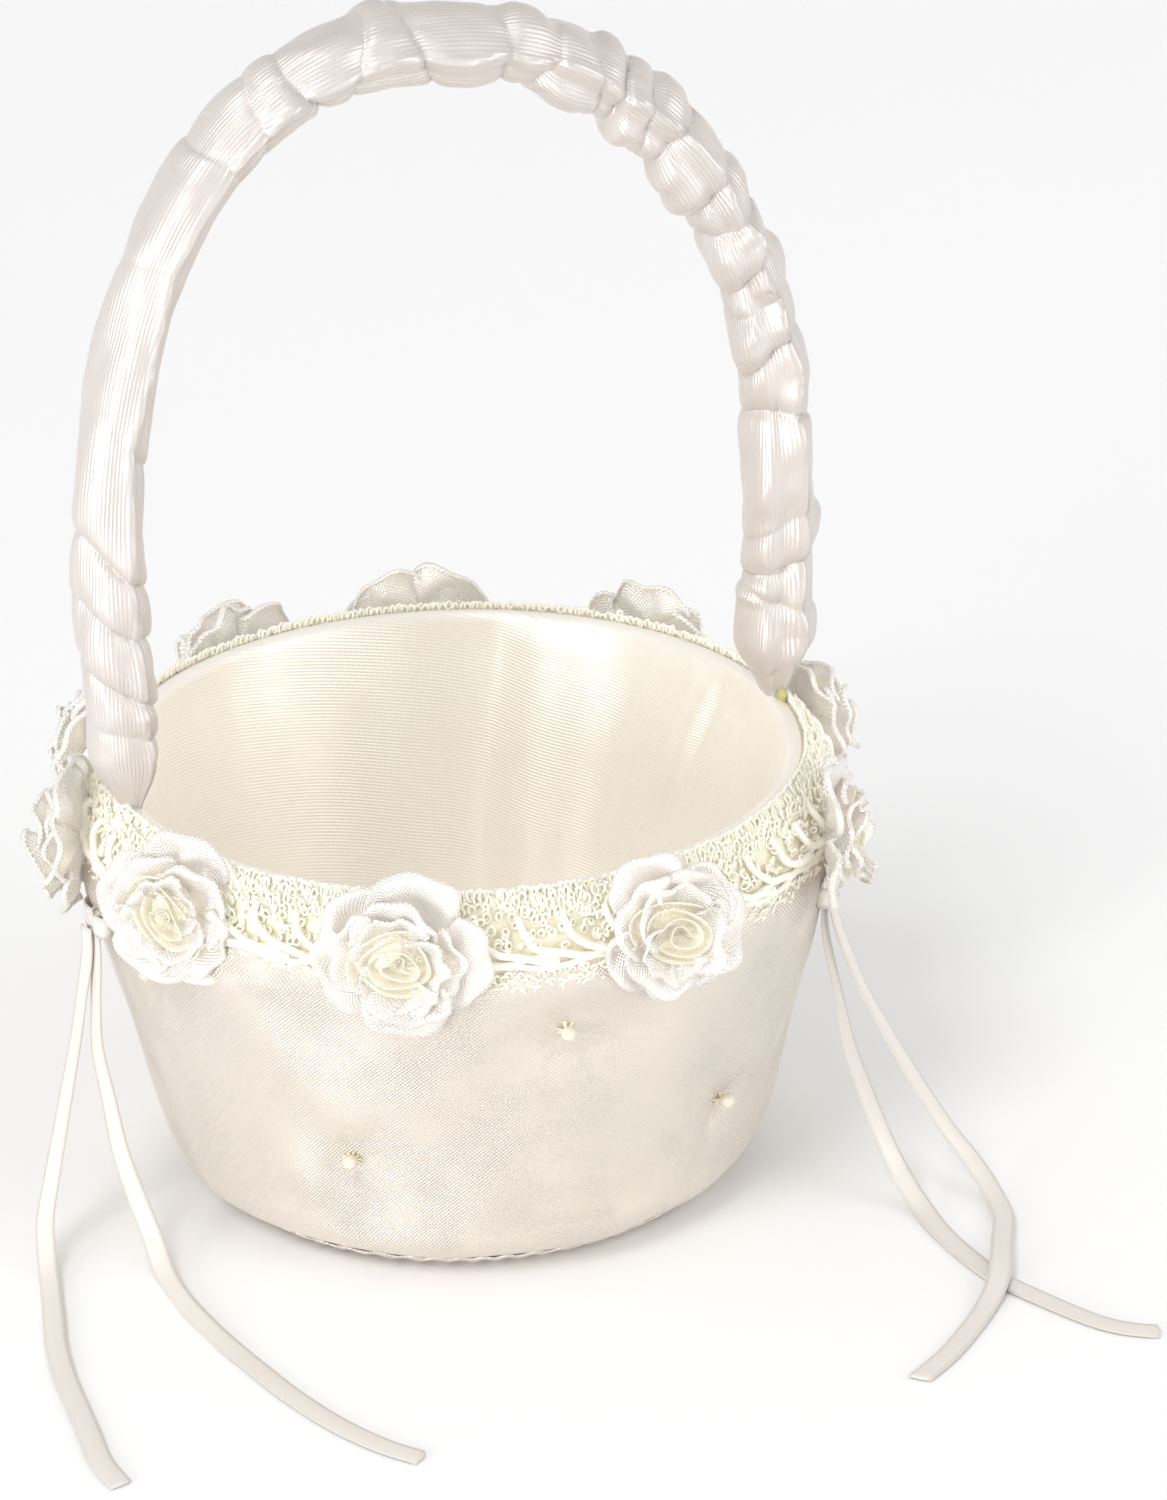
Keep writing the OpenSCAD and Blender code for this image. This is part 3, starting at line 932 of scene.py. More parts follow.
@dataclass(frozen=True)
class BowlCover:
    """The padded satin cover, drawn in at each pearl.

    Attributes:
        puff: How far the padding stands out between the pearls, in mm.
        tuft: The radius of the hollow round a pearl, in mm.
        pull: How strongly the creases from a pearl are drawn.
        broad: The height of the padding's broad unevenness in mm.
        fine: The height of its fine unevenness in mm.
        thickness: The cloth's thickness in mm.
    """

    puff: float = 2.5
    tuft: float = 9.5
    pull: float = 1.5
    broad: float = 0.55
    fine: float = 0.16
    thickness: float = 0.5

    def rise(self, shape: BowlShape, pearls: PearlRow, angle: Array, z: Array,
             share: Array) -> Array:
        """Gives how far the cover stands out from its CAD surface.

        Args:
            shape: The bowl.
            pearls: The pearls that draw the cover in.
            angle: Angles round the bowl in radians.
            z: Heights in mm.
            share: Shares of the outline's length.
        Returns:
            The standing out, in mm.
        """
        held = smooth_step((share - 0.07) / 0.16) * smooth_step((0.93 - share) / 0.16)
        middle_r = shape.cover_r((pearls.low_z + pearls.high_z) / 2)
        fill = np.ones_like(angle)
        creases = np.zeros_like(angle)
        for number, (pearl_angle, pearl_z) in enumerate(pearls.spots()):
            turn = turn_from(angle, pearl_angle)
            x, y = turn * middle_r, z - pearl_z
            away = np.hypot(x, y)
            fill *= 1 - np.exp(-(away / self.tuft) ** 1.4)
            way = np.arctan2(y, x)
            fans = np.cos(6 * way + 1.7 * number) + 0.6 * np.cos(9 * way + number)
            creases += 0.22 * fans * np.exp(-((away - 4.5) / 4.5) ** 2)
            for pull in PULLS:
                if pull.pearl == number:
                    heading = math.radians(pull.way)
                    run = x * math.cos(heading) + y * math.sin(heading)
                    off = -x * math.sin(heading) + y * math.cos(heading)
                    fade = smooth_step((run + 1) / 4) * smooth_step(1 - run / pull.length)
                    creases -= self.pull * pull.depth * fade * np.exp(-np.abs(off / pull.width) ** 1.2)
        broad = Ripples(5, (4, 13), (45, 140)).at(angle, z)
        fine = Ripples(9, (12, 26), (18, 50)).at(angle, z)
        soft = self.broad * broad + self.fine * fine
        return np.maximum(held * (self.puff * fill + creases + soft), 0.0)

    def build(self, shape: BowlShape, pearls: PearlRow, wardrobe: Wardrobe) -> None:
        """Builds the cover."""
        skin = shape.skin()

        def place(u: Array, v: Array) -> Array:
            """Puts a point of the cover on the bowl."""
            angle = TAU * u
            spots, out = outline_at(skin, v)
            rise = self.rise(shape, pearls, angle, spots[:, 1], v)
            return ring(spots + out * rise[:, None], angle)

        tall = run_length(skin)
        wide = TAU * shape.cover_r(50.0)
        cover = lay_grid("bowl_cover", 420, 110, place, (wide, tall), joined=True)
        apply_modifier(cover, "SOLIDIFY", thickness=self.thickness * MM, offset=-1)
        settle(cover, wardrobe.cover, "cover_satin", "outer_cover")


@dataclass(frozen=True)
class Hem:
    """The gathered edge of the cover, turned under and caught by the base cover.

    Attributes:
        pleats: How many small pleats go round.
        thickness: The cloth's thickness in mm.
    """

    pleats: int = 64
    thickness: float = 0.4

    def build(self, shape: BowlShape, wardrobe: Wardrobe) -> None:
        """Builds the hem and the base cover."""
        line = np.array([[shape.foot_r - 2, 1.5], [shape.foot_r + 2.5, 0.9],
                         [shape.foot_r + 6, 1.6], [shape.foot_r + 9, 3.9]])

        def place(u: Array, v: Array) -> Array:
            """Puts a point of the hem under the corner of the bowl."""
            angle = TAU * u
            spots = along(line, v)
            fold = np.cos(self.pleats * angle + 2.2 * Ripples(3, (2, 9), (9, 30)).at(angle, 9 * v))
            spots[:, 1] += 0.45 * fold * smooth_step(v * 2.2)
            spots[:, 0] += 0.5 * fold * v
            return ring(spots, angle)

        hem = lay_grid("gathered_hem", 512, 10, place, (TAU * 57, 11), joined=True)
        apply_modifier(hem, "SOLIDIFY", thickness=self.thickness * MM, offset=0)
        settle(hem, wardrobe.cover, "cover_satin", "cover_hem")
        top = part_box("base_cover")[1][2] / MM

        def disc(u: Array, v: Array) -> Array:
            """Puts a point of the base cover on the underside, edge turned up."""
            reach = np.minimum(v * (shape.foot_r + 2), shape.foot_r)
            turned = np.maximum(v * (shape.foot_r + 2) - shape.foot_r, 0)
            return ring(np.column_stack([reach, 0.02 + np.minimum(turned, top - 0.6)]), -TAU * u)

        base = lay_grid("base_cover_satin", 128, 28, disc, (120, 52), joined=True)
        apply_modifier(base, "SOLIDIFY", thickness=self.thickness * MM, offset=-1)
        settle(base, wardrobe.cover, "base_satin", "base_cover")


# ---- Lining ----


@dataclass(frozen=True)
class Fold:
    """A soft fold that stands in from the lining.

    Attributes:
        angle: Where it is at the rim, in degrees.
        width: Its half width in degrees.
        depth: How far it stands in, in mm; below 0 it is a hollow.
        lean: How many degrees it turns for each mm down.
        low: The height at which it fades out below.
        high: The height at which it fades out above.
    """

    angle: float
    width: float
    depth: float
    lean: float = 0.0
    low: float = 0.0
    high: float = 110.0


FOLDS = (
    Fold(52, 8, 2.6, 0.03), Fold(66, 6, -1.3, 0.05),
    Fold(16, 3.5, 2.0, 0.22, 55), Fold(8, 4, -1.6, 0.30, 50), Fold(25, 5, 1.4, 0.2, 40),
    Fold(88, 9, 0.8, -0.1), Fold(118, 10, -0.7, 0.1), Fold(150, 8, 0.9, -0.2, 30),
    Fold(186, 5, -1.0, 0.3, 50), Fold(215, 9, 0.9, 0.1), Fold(250, 11, 0.8, -0.1),
    Fold(290, 9, 1.0, 0.1), Fold(318, 8, -0.8, 0.0), Fold(338, 6, 1.0, -0.2, 40),
)


@dataclass(frozen=True)
class Lining:
    """The satin inside the bowl: a wall that rolls over the rim, and a padded floor.

    Attributes:
        thickness: The cloth's thickness in mm.
        roll: The height of the roll over the rim in mm.
        hollow: The most that the wall may sink back towards its padding, in mm.
    """

    thickness: float = 0.4
    roll: float = 1.5
    hollow: float = 0.5

    def profile(self, shape: BowlShape, floor_z: float) -> Array:
        """The lining's outline from the floor up and over the padded rim."""
        bend_z = shape.height - shape.bend
        turn = np.radians(np.linspace(170, 10, 12))
        edge = np.column_stack([shape.mouth_r - 0.9 + self.roll * 1.25 * np.cos(turn),
                                shape.height - 1.1 + self.roll * np.sin(turn)])
        return np.vstack([[shape.lining_r(floor_z), floor_z],
                          [shape.lining_top_r - 0.2, bend_z - 1], edge])

    def build(self, shape: BowlShape, wardrobe: Wardrobe) -> None:
        """Builds the wall and the floor."""
        floor_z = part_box("lining_floor")[1][2] / MM
        line = self.profile(shape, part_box("lining_wall")[0][2] / MM + 0.2)

        def place(u: Array, v: Array) -> Array:
            """Puts a point of the wall inside the bowl."""
            angle = -TAU * u
            spots = along(line, v)
            z = spots[:, 1]
            stand = 0.35 * Ripples(21, (3, 11), (60, 160)).at(angle, z)
            for fold in FOLDS:
                middle = math.radians(fold.angle) + np.radians(fold.lean) * (shape.height - z)
                turn = turn_from(angle, middle)
                fade = smooth_step((z - fold.low) / 25) * smooth_step((fold.high - z) / 10)
                stand += fold.depth * fade * np.exp(-(np.degrees(turn) / fold.width) ** 2)
            held = smooth_step(v / 0.12) * smooth_step((0.985 - v) / 0.1)
            spots[:, 0] -= held * np.maximum(stand, -self.hollow)
            return ring(spots, angle)

        tall = run_length(line)
        wall = lay_grid("bowl_lining", 360, 80, place, (TAU * 64, tall), joined=True)
        apply_modifier(wall, "SOLIDIFY", thickness=self.thickness * MM, offset=-1)
        settle(wall, wardrobe.lining, "lining_satin", "lining_wall")
        edge_r = float(shape.lining_r(floor_z)) - 0.1

        def disc(u: Array, v: Array) -> Array:
            """Puts a point of the floor on its pad."""
            angle = TAU * u
            soft = 0.25 * Ripples(33, (2, 7), (30, 80)).at(angle, v * edge_r) * (1 - v) * v * 4
            crown = 1.3 * (1 - (1 - v) ** 4) - 0.4
            return ring(np.column_stack([(1 - v) * edge_r, floor_z + crown + soft]), angle)

        floor = lay_grid("lining_floor_satin", 128, 36, disc, (TAU * 30, edge_r), joined=True)
        apply_modifier(floor, "SOLIDIFY", thickness=self.thickness * MM, offset=-1)
        settle(floor, wardrobe.lining, "lining_satin", "lining_floor")


# ---- Handle ----


@dataclass(frozen=True)
class Arch:
    """The middle line of the handle, from the right foot over the top to the left foot.

    Attributes:
        rim: The rim's height in mm.
        apex: The height of the middle line at its top.
        foot_half: Half the distance between the feet.
        spring_half: Half the distance between the legs where the arch starts.
        spring_rise: The height of that start above the rim.
        shift: How far the arch leans to one side at its top.
        power: Its squareness, where 2 is an ellipse.
        tuck: How far the feet go down below the rim.
    """

    rim: float
    apex: float
    foot_half: float = 76.0
    spring_half: float = 77.5
    spring_rise: float = 50.0
    shift: float = -8.0
    power: float = 2.2
    tuck: float = 3.5

    def line(self, step: float) -> Array:
        """The middle line's (n, 3) points, a step apart in mm."""
        z = np.linspace(self.rim - self.tuck, self.rim + self.spring_rise, 12)[:-1]
        half = self.foot_half + (self.spring_half - self.foot_half) * smooth_step(
            (z - self.rim) / self.spring_rise)
        turn = np.radians(np.linspace(0, 180, 61))
        reach = self.spring_half - np.sign(np.cos(turn)) * self.shift
        power = 2 / self.power
        x = self.shift + reach * np.sign(np.cos(turn)) * np.abs(np.cos(turn)) ** power
        top = self.apex - self.rim - self.spring_rise
        arch_z = self.rim + self.spring_rise + top * np.abs(np.sin(turn)) ** power
        xs = np.concatenate([half, x, -half[::-1]])
        zs = np.concatenate([z, arch_z, z[::-1]])
        return fair(np.column_stack([xs, np.zeros_like(xs), zs]), step)


@dataclass(frozen=True)
class Crease:
    """A pinch that runs round the gathered sleeve.

    Attributes:
        at: Its place along the sleeve in mm from the right foot.
        depth: Its depth in mm.
        slant: How far it runs on along the sleeve from its inner to its outer side, in mm.
        side: Where round the sleeve it is deepest, in degrees: 0 outer, 90 front, 180 inner.
        width: Its half width in mm.
    """

    at: float
    depth: float
    slant: float = 0.0
    side: float = 140.0
    width: float = 3.0


# The way that the front of the handle looks.
FRONT = np.array((0.0, -1.0, 0.0))
# How far the sleeve reaches above the handle's middle line at its top, in mm.
SLEEVE_CROWN = 8.7
CREASES = (
    Crease(12, 1.0, 5, 150), Crease(27, 1.3, -7, 150), Crease(37, 2.6, 5, 120, 3.4),
    Crease(48, 0.8, 8, 200), Crease(72, 2.2, -6, 130, 3.4), Crease(88, 1.7, 3, 140),
    Crease(99, 1.0, -3, 170), Crease(109, 1.9, 4, 130), Crease(120, 1.6, -3, 120),
    Crease(130, 2.1, 3, 150), Crease(145, 2.0, -2, 130), Crease(154, 1.4, 3, 90, 2.2),
    Crease(162, 2.7, -2, 110, 2.6), Crease(169, 1.5, 3, 150, 2.2), Crease(181, 1.9, -4, 140),
    Crease(192, 1.7, 3, 160), Crease(211, 1.9, 7, 100), Crease(224, 1.4, -4, 90),
    Crease(238, 2.6, 5, 150, 3.2), Crease(249, 0.9, -3, 60), Crease(261, 1.2, 4, 20, 5),
    Crease(286, 0.5, 8, 40, 6), Crease(324, 0.9, -5, 150, 4.5), Crease(353, 2.0, -7, 90, 3.0),
    Crease(367, 1.9, -6, 110, 3.0), Crease(382, 2.1, -9, 110, 3.0), Crease(392, 1.1, -4, 150),
)


@dataclass(frozen=True)
class Sleeve:
    """The gathered satin sleeve, with a crisp ridge along its front.

    Attributes:
        half_wide: Half its width front to back, in mm.
        outer: Its thickness outwards from the middle line.
        inner: Its thickness inwards.
        ridge: The height of the front ridge.
        puff: How far the gathers stand out between the creases.
        pouch: How far each gather bulges to its own side.
        foot: The length over which each foot narrows.
        thickness: The cloth's thickness in mm.
        ridge_lean: How far the ridge turns as the sleeve leans over, in radians.
        ridge_half: The half width of the ridge in radians.
        ridge_sway: The most that the ridge wanders from gather to gather, in radians.
        groove: The depth in mm of the groove beside the ridge.
        groove_off: How far the groove is from the ridge in radians.
        groove_half: The half width of the groove in radians.
        full_gap: The distance between creases at which a gather is fully puffed, in mm.
        calm_at: Where along the sleeve the pouches begin to calm, in mm.
        bunch: The depth in mm of the fine bunching inside the right shoulder.
        bunch_at: The middle of that bunching along the sleeve, in mm.
        bunch_half: Its half width in mm.
        seam_at: Where round the sleeve its seam runs, in degrees.
    """

    half_wide: float = 7.9
    outer: float = 7.3
    inner: float = 6.7
    ridge: float = 2.3
    puff: float = 0.7
    pouch: float = 1.5
    foot: float = 17.0
    thickness: float = 0.35
    ridge_lean: float = 0.30
    ridge_half: float = 0.11
    ridge_sway: float = 0.15
    groove: float = 1.4
    groove_off: float = 0.48
    groove_half: float = 0.26
    full_gap: float = 14.0
    calm_at: float = 215.0
    bunch: float = 1.6
    bunch_at: float = 146.0
    bunch_half: float = 24.0
    seam_at: float = 142.0

    def radius(self, s: Array, phi: Array, lean: Array) -> Array:
        """Gives the sleeve's radius.

        Args:
            s: Places along the sleeve in mm.
            phi: Angles round it in radians, 0 outwards and a quarter turn to the front.
            lean: How far the outward side looks to +X there, from -1 to 1.
        Returns:
            The radius in mm.
        """
        deep = np.where(np.cos(phi) > 0, self.outer, self.inner)
        r = 1 / np.sqrt((np.cos(phi) / deep) ** 2 + (np.sin(phi) / self.half_wide) ** 2)
        marks = sorted(crease.at for crease in CREASES)
        rng = np.random.default_rng(17)
        zigzag = np.sort(np.concatenate([marks, np.array(marks[1:]) - np.diff(marks) / 2]))
        wander = np.interp(s, zigzag, rng.uniform(-self.ridge_sway, self.ridge_sway,
                                                      len(zigzag)))
        crest = math.pi / 2 - self.ridge_lean * lean + wander
        off = turn_from(phi, crest)
        r += self.ridge * np.exp(-np.abs(off) / self.ridge_half)
        r -= self.groove * np.exp(-((off - self.groove_off) / self.groove_half) ** 2)
        gaps = np.interp(s, marks, np.gradient(marks))
        r += self.puff * np.clip(gaps / self.full_gap, 0.35, 1.0)
        for number, crease in enumerate(CREASES):
            x = s - crease.at - 0.6 * crease.slant * np.cos(phi) - 0.9 * np.sin(2 * phi + number)
            x = x * (1 if crease.slant > 0 else -1)
            grip = 0.6 + 0.4 * np.cos(phi - math.radians(crease.side))
            r -= 1.15 * crease.depth * grip * np.exp(-np.abs(x / (0.5 * crease.width)) ** 0.9)
            lap = np.exp(-np.maximum(x, 0) / 8) / (1 + np.exp(-x / 0.3))
            r += 0.55 * crease.depth * grip * lap
            rays = np.cos(9 * phi + number * 2.1) + 0.7 * np.cos(15 * phi - number * 1.3)
            r += 0.10 * crease.depth * rays * np.exp(-np.abs(x) / 5) * (1 - np.exp(-np.abs(x)))
        for number, (low, high) in enumerate(zip(marks, marks[1:])):
            way = math.radians((150 if number % 2 else 10) + rng.uniform(-35, 35))
            middle, reach = (low + high) / 2, (high - low) / 2
            bell = np.exp(-((s - middle) / (0.75 * reach)) ** 4)
            tame = 1 - 0.85 * smooth_step((middle - self.calm_at) / 40)
            r += self.pouch * tame * bell * np.maximum(np.cos(phi - way), 0) ** 1.5
        inner_side = np.maximum(-np.cos(phi), 0)
        lumps = np.exp(-((s - self.bunch_at) / self.bunch_half) ** 2) * inner_side
        r += self.bunch * lumps * (0.4 + 0.6 * np.sin(s / 2.6) ** 2)
        r += 0.35 * Ripples(41, (1, 4), (22, 60)).at(phi, s)
        return r + 0.07 * Ripples(43, (3, 9), (7, 18)).at(phi, s)

    def build(self, arch: Arch, wardrobe: Wardrobe) -> None:
        """Builds the sleeve and the stitches of its seam."""
        line = arch.line(1.0)
        length = run_length(line)
        outward = np.cross(unit(np.gradient(line, axis=0)), FRONT)

        def surface(s: Array, phi: Array, lift: float = 0.0) -> Array:
            """Places on the sleeve by mm along it and radians round it."""
            t = np.clip(s / length, 0, 1)
            side = unit(along(outward, t))
            r = self.radius(s, phi, side[:, 0]) + lift
            near = np.minimum(s, length - s)
            slim = 0.16 + 0.84 * smooth_step(near / self.foot)
            narrow = 0.45 + 0.55 * smooth_step(near / self.foot)
            push = (r * np.cos(phi) * slim)[:, None] * side
            return along(line, t) + push + (r * np.sin(phi) * narrow)[:, None] * FRONT

        def place(u: Array, v: Array) -> Array:
            """Puts a point of the sleeve round the arch."""
            return surface(u * length, -TAU * v + math.pi)

        sleeve = lay_grid("gathered_sleeve", 640, 74, place, (length * 1.25, 56), joined=True)
        apply_modifier(sleeve, "SOLIDIFY", thickness=self.thickness * MM, offset=-1)
        settle(sleeve, wardrobe.sleeve, "handle_satin", "handle_sleeve")
        runs = []
        seam = math.radians(self.seam_at)
        for start in np.arange(18, length - 24, 4.2):
            s = start + np.linspace(0, 2.6, 6)
            runs.append(surface(s, np.full(6, seam), 0.12))
        stitches = lay_cords("seam_stitches", runs, 0.22)
        settle(stitches, wardrobe.thread, "thread", "handle_stitching")


# ---- Braid ----


@dataclass(frozen=True)
class LoopRow:
    """One row of small upright loops round the braid.

    Attributes:
        count: How many loops go round.
        climb: Their height above the braid's lower edge in mm.
        size: Their radius in mm.
        out: How far they stand out in mm.
        shake: How far they are out of line in mm.
    """

    count: int
    climb: float
    size: float
    out: float
    shake: float


UPPER_PICOT = (
    LoopRow(400, 15.9, 0.75, 1.3, 0.45), LoopRow(400, 17.4, 0.75, 1.2, 0.45),
    LoopRow(400, 18.9, 0.75, 0.9, 0.35), LoopRow(330, 19.9, 0.7, 0.5, 0.2),
)
LOWER_PICOT = (
    LoopRow(330, 3.9, 0.8, 1.1, 0.45), LoopRow(330, 2.4, 0.85, 1.1, 0.45),
    LoopRow(300, 0.9, 0.9, 0.9, 0.4), LoopRow(260, -0.3, 0.8, 0.4, 0.3),
)


@dataclass(frozen=True)
class Braid:
    """The gimp braid: a ground tape, swept cords with looped clusters, rails and picots.

    Attributes:
        sweeps: How many swept cords go round.
        tape_out: How far the tape's face stands out from the cover.
        cord_r: The radius of the swept cords in mm.
        loop_r: The radius of the fine looped cord in mm.
        rail_r: The radius of the rail cords in mm.
        crown: The share of the braid's height past which its loops stand straight up.
        knots: How many small loops fill the ground by each swept cord.
    """

    sweeps: int = 54
    tape_out: float = 1.0
    cord_r: float = 0.85
    loop_r: float = 0.36
    rail_r: float = 0.68
    crown: float = 0.985
    knots: int = 19

    def loops(self, shape: BowlShape, rng: np.random.Generator, row: LoopRow) -> list[Array]:
        """Gives one row of small loops.

        Args:
            shape: The bowl.
            rng: The seeded source of their unevenness.
            row: The row's sizes.
        Returns:
            The closed run of each loop.
        """
        turn = np.linspace(0, TAU, 9)[:-1]
        runs = []
        for k in range(row.count):
            wide, tall = row.size * rng.uniform(0.75, 1.2, 2)
            twist = rng.uniform(-0.9, 0.9)
            x = wide * np.cos(turn) + rng.normal(0, row.shake)
            y = tall * np.sin(turn) + rng.normal(0, row.shake)
            lift = row.out + row.size * 0.7 * np.sin(turn + twist) + rng.uniform(-0.2, 0.3)
            angle = TAU * k / row.count + x / shape.belly_r
            runs.append(self.spot(shape, angle, row.climb + y, lift))
        return runs

    def spot(self, shape: BowlShape, angle: Array, climb: Array, out: Array) -> Array:
        """Places over the braid that may run on past its upper and lower edges."""
        over = np.maximum(climb - shape.braid_h * self.crown, 0)
        under = np.minimum(climb, 0)
        base = shape.on_braid(angle, np.clip(climb, 0, shape.braid_h * self.crown), 0.0)
        rise = np.clip(climb / shape.braid_h, 0, self.crown)
        flat = np.sqrt(1 - rise ** 2)
        slope = unit(np.column_stack([flat, rise * 0.62]))
        base[:, 0] += slope[:, 0] * out * np.cos(angle)
        base[:, 1] += slope[:, 0] * out * np.sin(angle)
        base[:, 2] += slope[:, 1] * out + over + under
        return base

    def sweep(self, shape: BowlShape, k: int, rng: np.random.Generator) -> Array:
        """The run of one swept cord: down from the top edge and away along the rails."""
        hand = np.array([(-1.6, 15.6, 0.6), (-1.5, 13.6, 1.6), (-0.6, 11.6, 1.9),
                         (1.2, 9.9, 2.0), (3.8, 8.7, 2.0), (6.6, 7.9, 1.8), (9.8, 7.2, 1.4),
                         (13.0, 6.5, 0.7), (16.0, 5.9, -0.4)])
        hand = hand + rng.normal(0, 0.18, hand.shape)
        line = fair(hand, 1.0)
        angle = TAU * k / self.sweeps + line[:, 0] / shape.belly_r
        return self.spot(shape, angle, line[:, 1], self.tape_out + line[:, 2])

    def cluster(self, shape: BowlShape, k: int, rng: np.random.Generator) -> list[Array]:
        """The knot of small loops inside one swept cord."""
        turn = np.linspace(0, TAU, 9)[:-1]
        runs = []
        for number in range(self.knots):
            x = rng.uniform(-0.6, 8.8)
            y = rng.uniform(9.4 - 0.25 * x, 15.4)
            size = rng.uniform(0.5, 0.85)
            twist = rng.uniform(0, TAU)
            px = x + size * np.cos(turn)
            py = y + size * np.sin(turn)
            lift = self.tape_out + 0.5 + 0.06 * (number % 5) + 0.6 * np.sin(turn + twist)
            angle = TAU * k / self.sweeps + px / shape.belly_r
            runs.append(self.spot(shape, angle, py, lift))
        return runs

    def build(self, shape: BowlShape, wardrobe: Wardrobe) -> None:
        """Builds the braid from its tape outwards."""
        rng = np.random.default_rng(7)

        def place(u: Array, v: Array) -> Array:
            """Puts a point of the tape round the shoulder."""
            angle = TAU * u
            climb = 0.3 + 18.9 * v
            weave = 0.16 * np.sin(180 * angle) * np.sin(climb * 3.1)
            return self.spot(shape, angle, climb, 0.35 + 0.5 * smooth_step(v * 8)
                             * smooth_step((1 - v) * 8) + weave)

        tape = lay_grid("braid_ground_tape", 720, 24, place, (TAU * 82, 22), joined=True)
        apply_modifier(tape, "SOLIDIFY", thickness=0.5 * MM, offset=-1)
        settle(tape, wardrobe.tape, "braid_gimp", "braid_tape")
        sweeps = [self.sweep(shape, k, rng) for k in range(self.sweeps)]
        cords = lay_cords("braid_swept_cords", sweeps, self.cord_r)
        settle(cords, wardrobe.cord, "braid_gimp", "braid_scrolls")
        knots = [run for k in range(self.sweeps) for run in self.cluster(shape, k, rng)]
        clusters = lay_cords("braid_loop_clusters", knots, self.loop_r, 0, True)
        settle(clusters, wardrobe.loops, "braid_gimp")
        angle = np.linspace(0, TAU, 433)[:-1]
        rails = []
        for climb, phase in ((5.6, 0.0), (7.2, math.pi)):
            sway = 0.55 * np.sin(self.sweeps / 2 * angle + phase)
            rails.append(self.spot(shape, angle, climb + sway,
                                   self.tape_out + 0.5 + 0.3 * np.cos(self.sweeps * angle + phase)))
        settle(lay_cords("braid_rail_cords", rails, self.rail_r, 1, True), wardrobe.cord, "braid_gimp",
               "braid_rails")
        for name, rows, node in (("braid_upper_picot", UPPER_PICOT, "braid_top_picot"),
                                 ("braid_lower_picot", LOWER_PICOT, "braid_bottom_picot")):
            runs = [run for row in rows for run in self.loops(shape, rng, row)]
            settle(lay_cords(name, runs, self.loop_r, 0, True), wardrobe.loops, "braid_gimp", node)


# ---- Roses ----


@dataclass(frozen=True)
class Bloom:
    """How one rose sits on the rim.

    Attributes:
        angle: Its place round the rim in degrees.
        yaw: How far it is turned sideways from facing straight out, in degrees.
        pitch: How far it looks up, in degrees.
        turn: How far it is turned about its own middle, in degrees.
        size: Its size against the plain rose.
    """

    angle: float
    yaw: float = 0.0
    pitch: float = 0.0
    turn: float = 0.0
    size: float = 1.0


BLOOMS = (
    Bloom(242, 0, 6, 90), Bloom(281, -6, 6, 70), Bloom(321, 12, 2, 150, 0.98),
    Bloom(3, 6, 10, 200, 0.95), Bloom(38, 4, 14, 250), Bloom(76, -4, 14, 300),
    Bloom(108, 8, 14, 20), Bloom(141, -8, 10, 100), Bloom(175, -26, -2, 170, 0.95),
    Bloom(205, 24, 8, 40, 0.97),
)


@dataclass(frozen=True)
class PetalRow:
    """One row of petals of a rose.

    Attributes:
        count: How many petals are in it.
        reach: The radius of their tips in mm.
        base: The height of their roots in mm.
        tip: The height of their tips in mm.
        wide: The width of each against its share of the circle.
        lip: The radius of the turned edge in mm.
    """

    count: int
    reach: float
    base: float
    tip: float
    wide: float
    lip: float


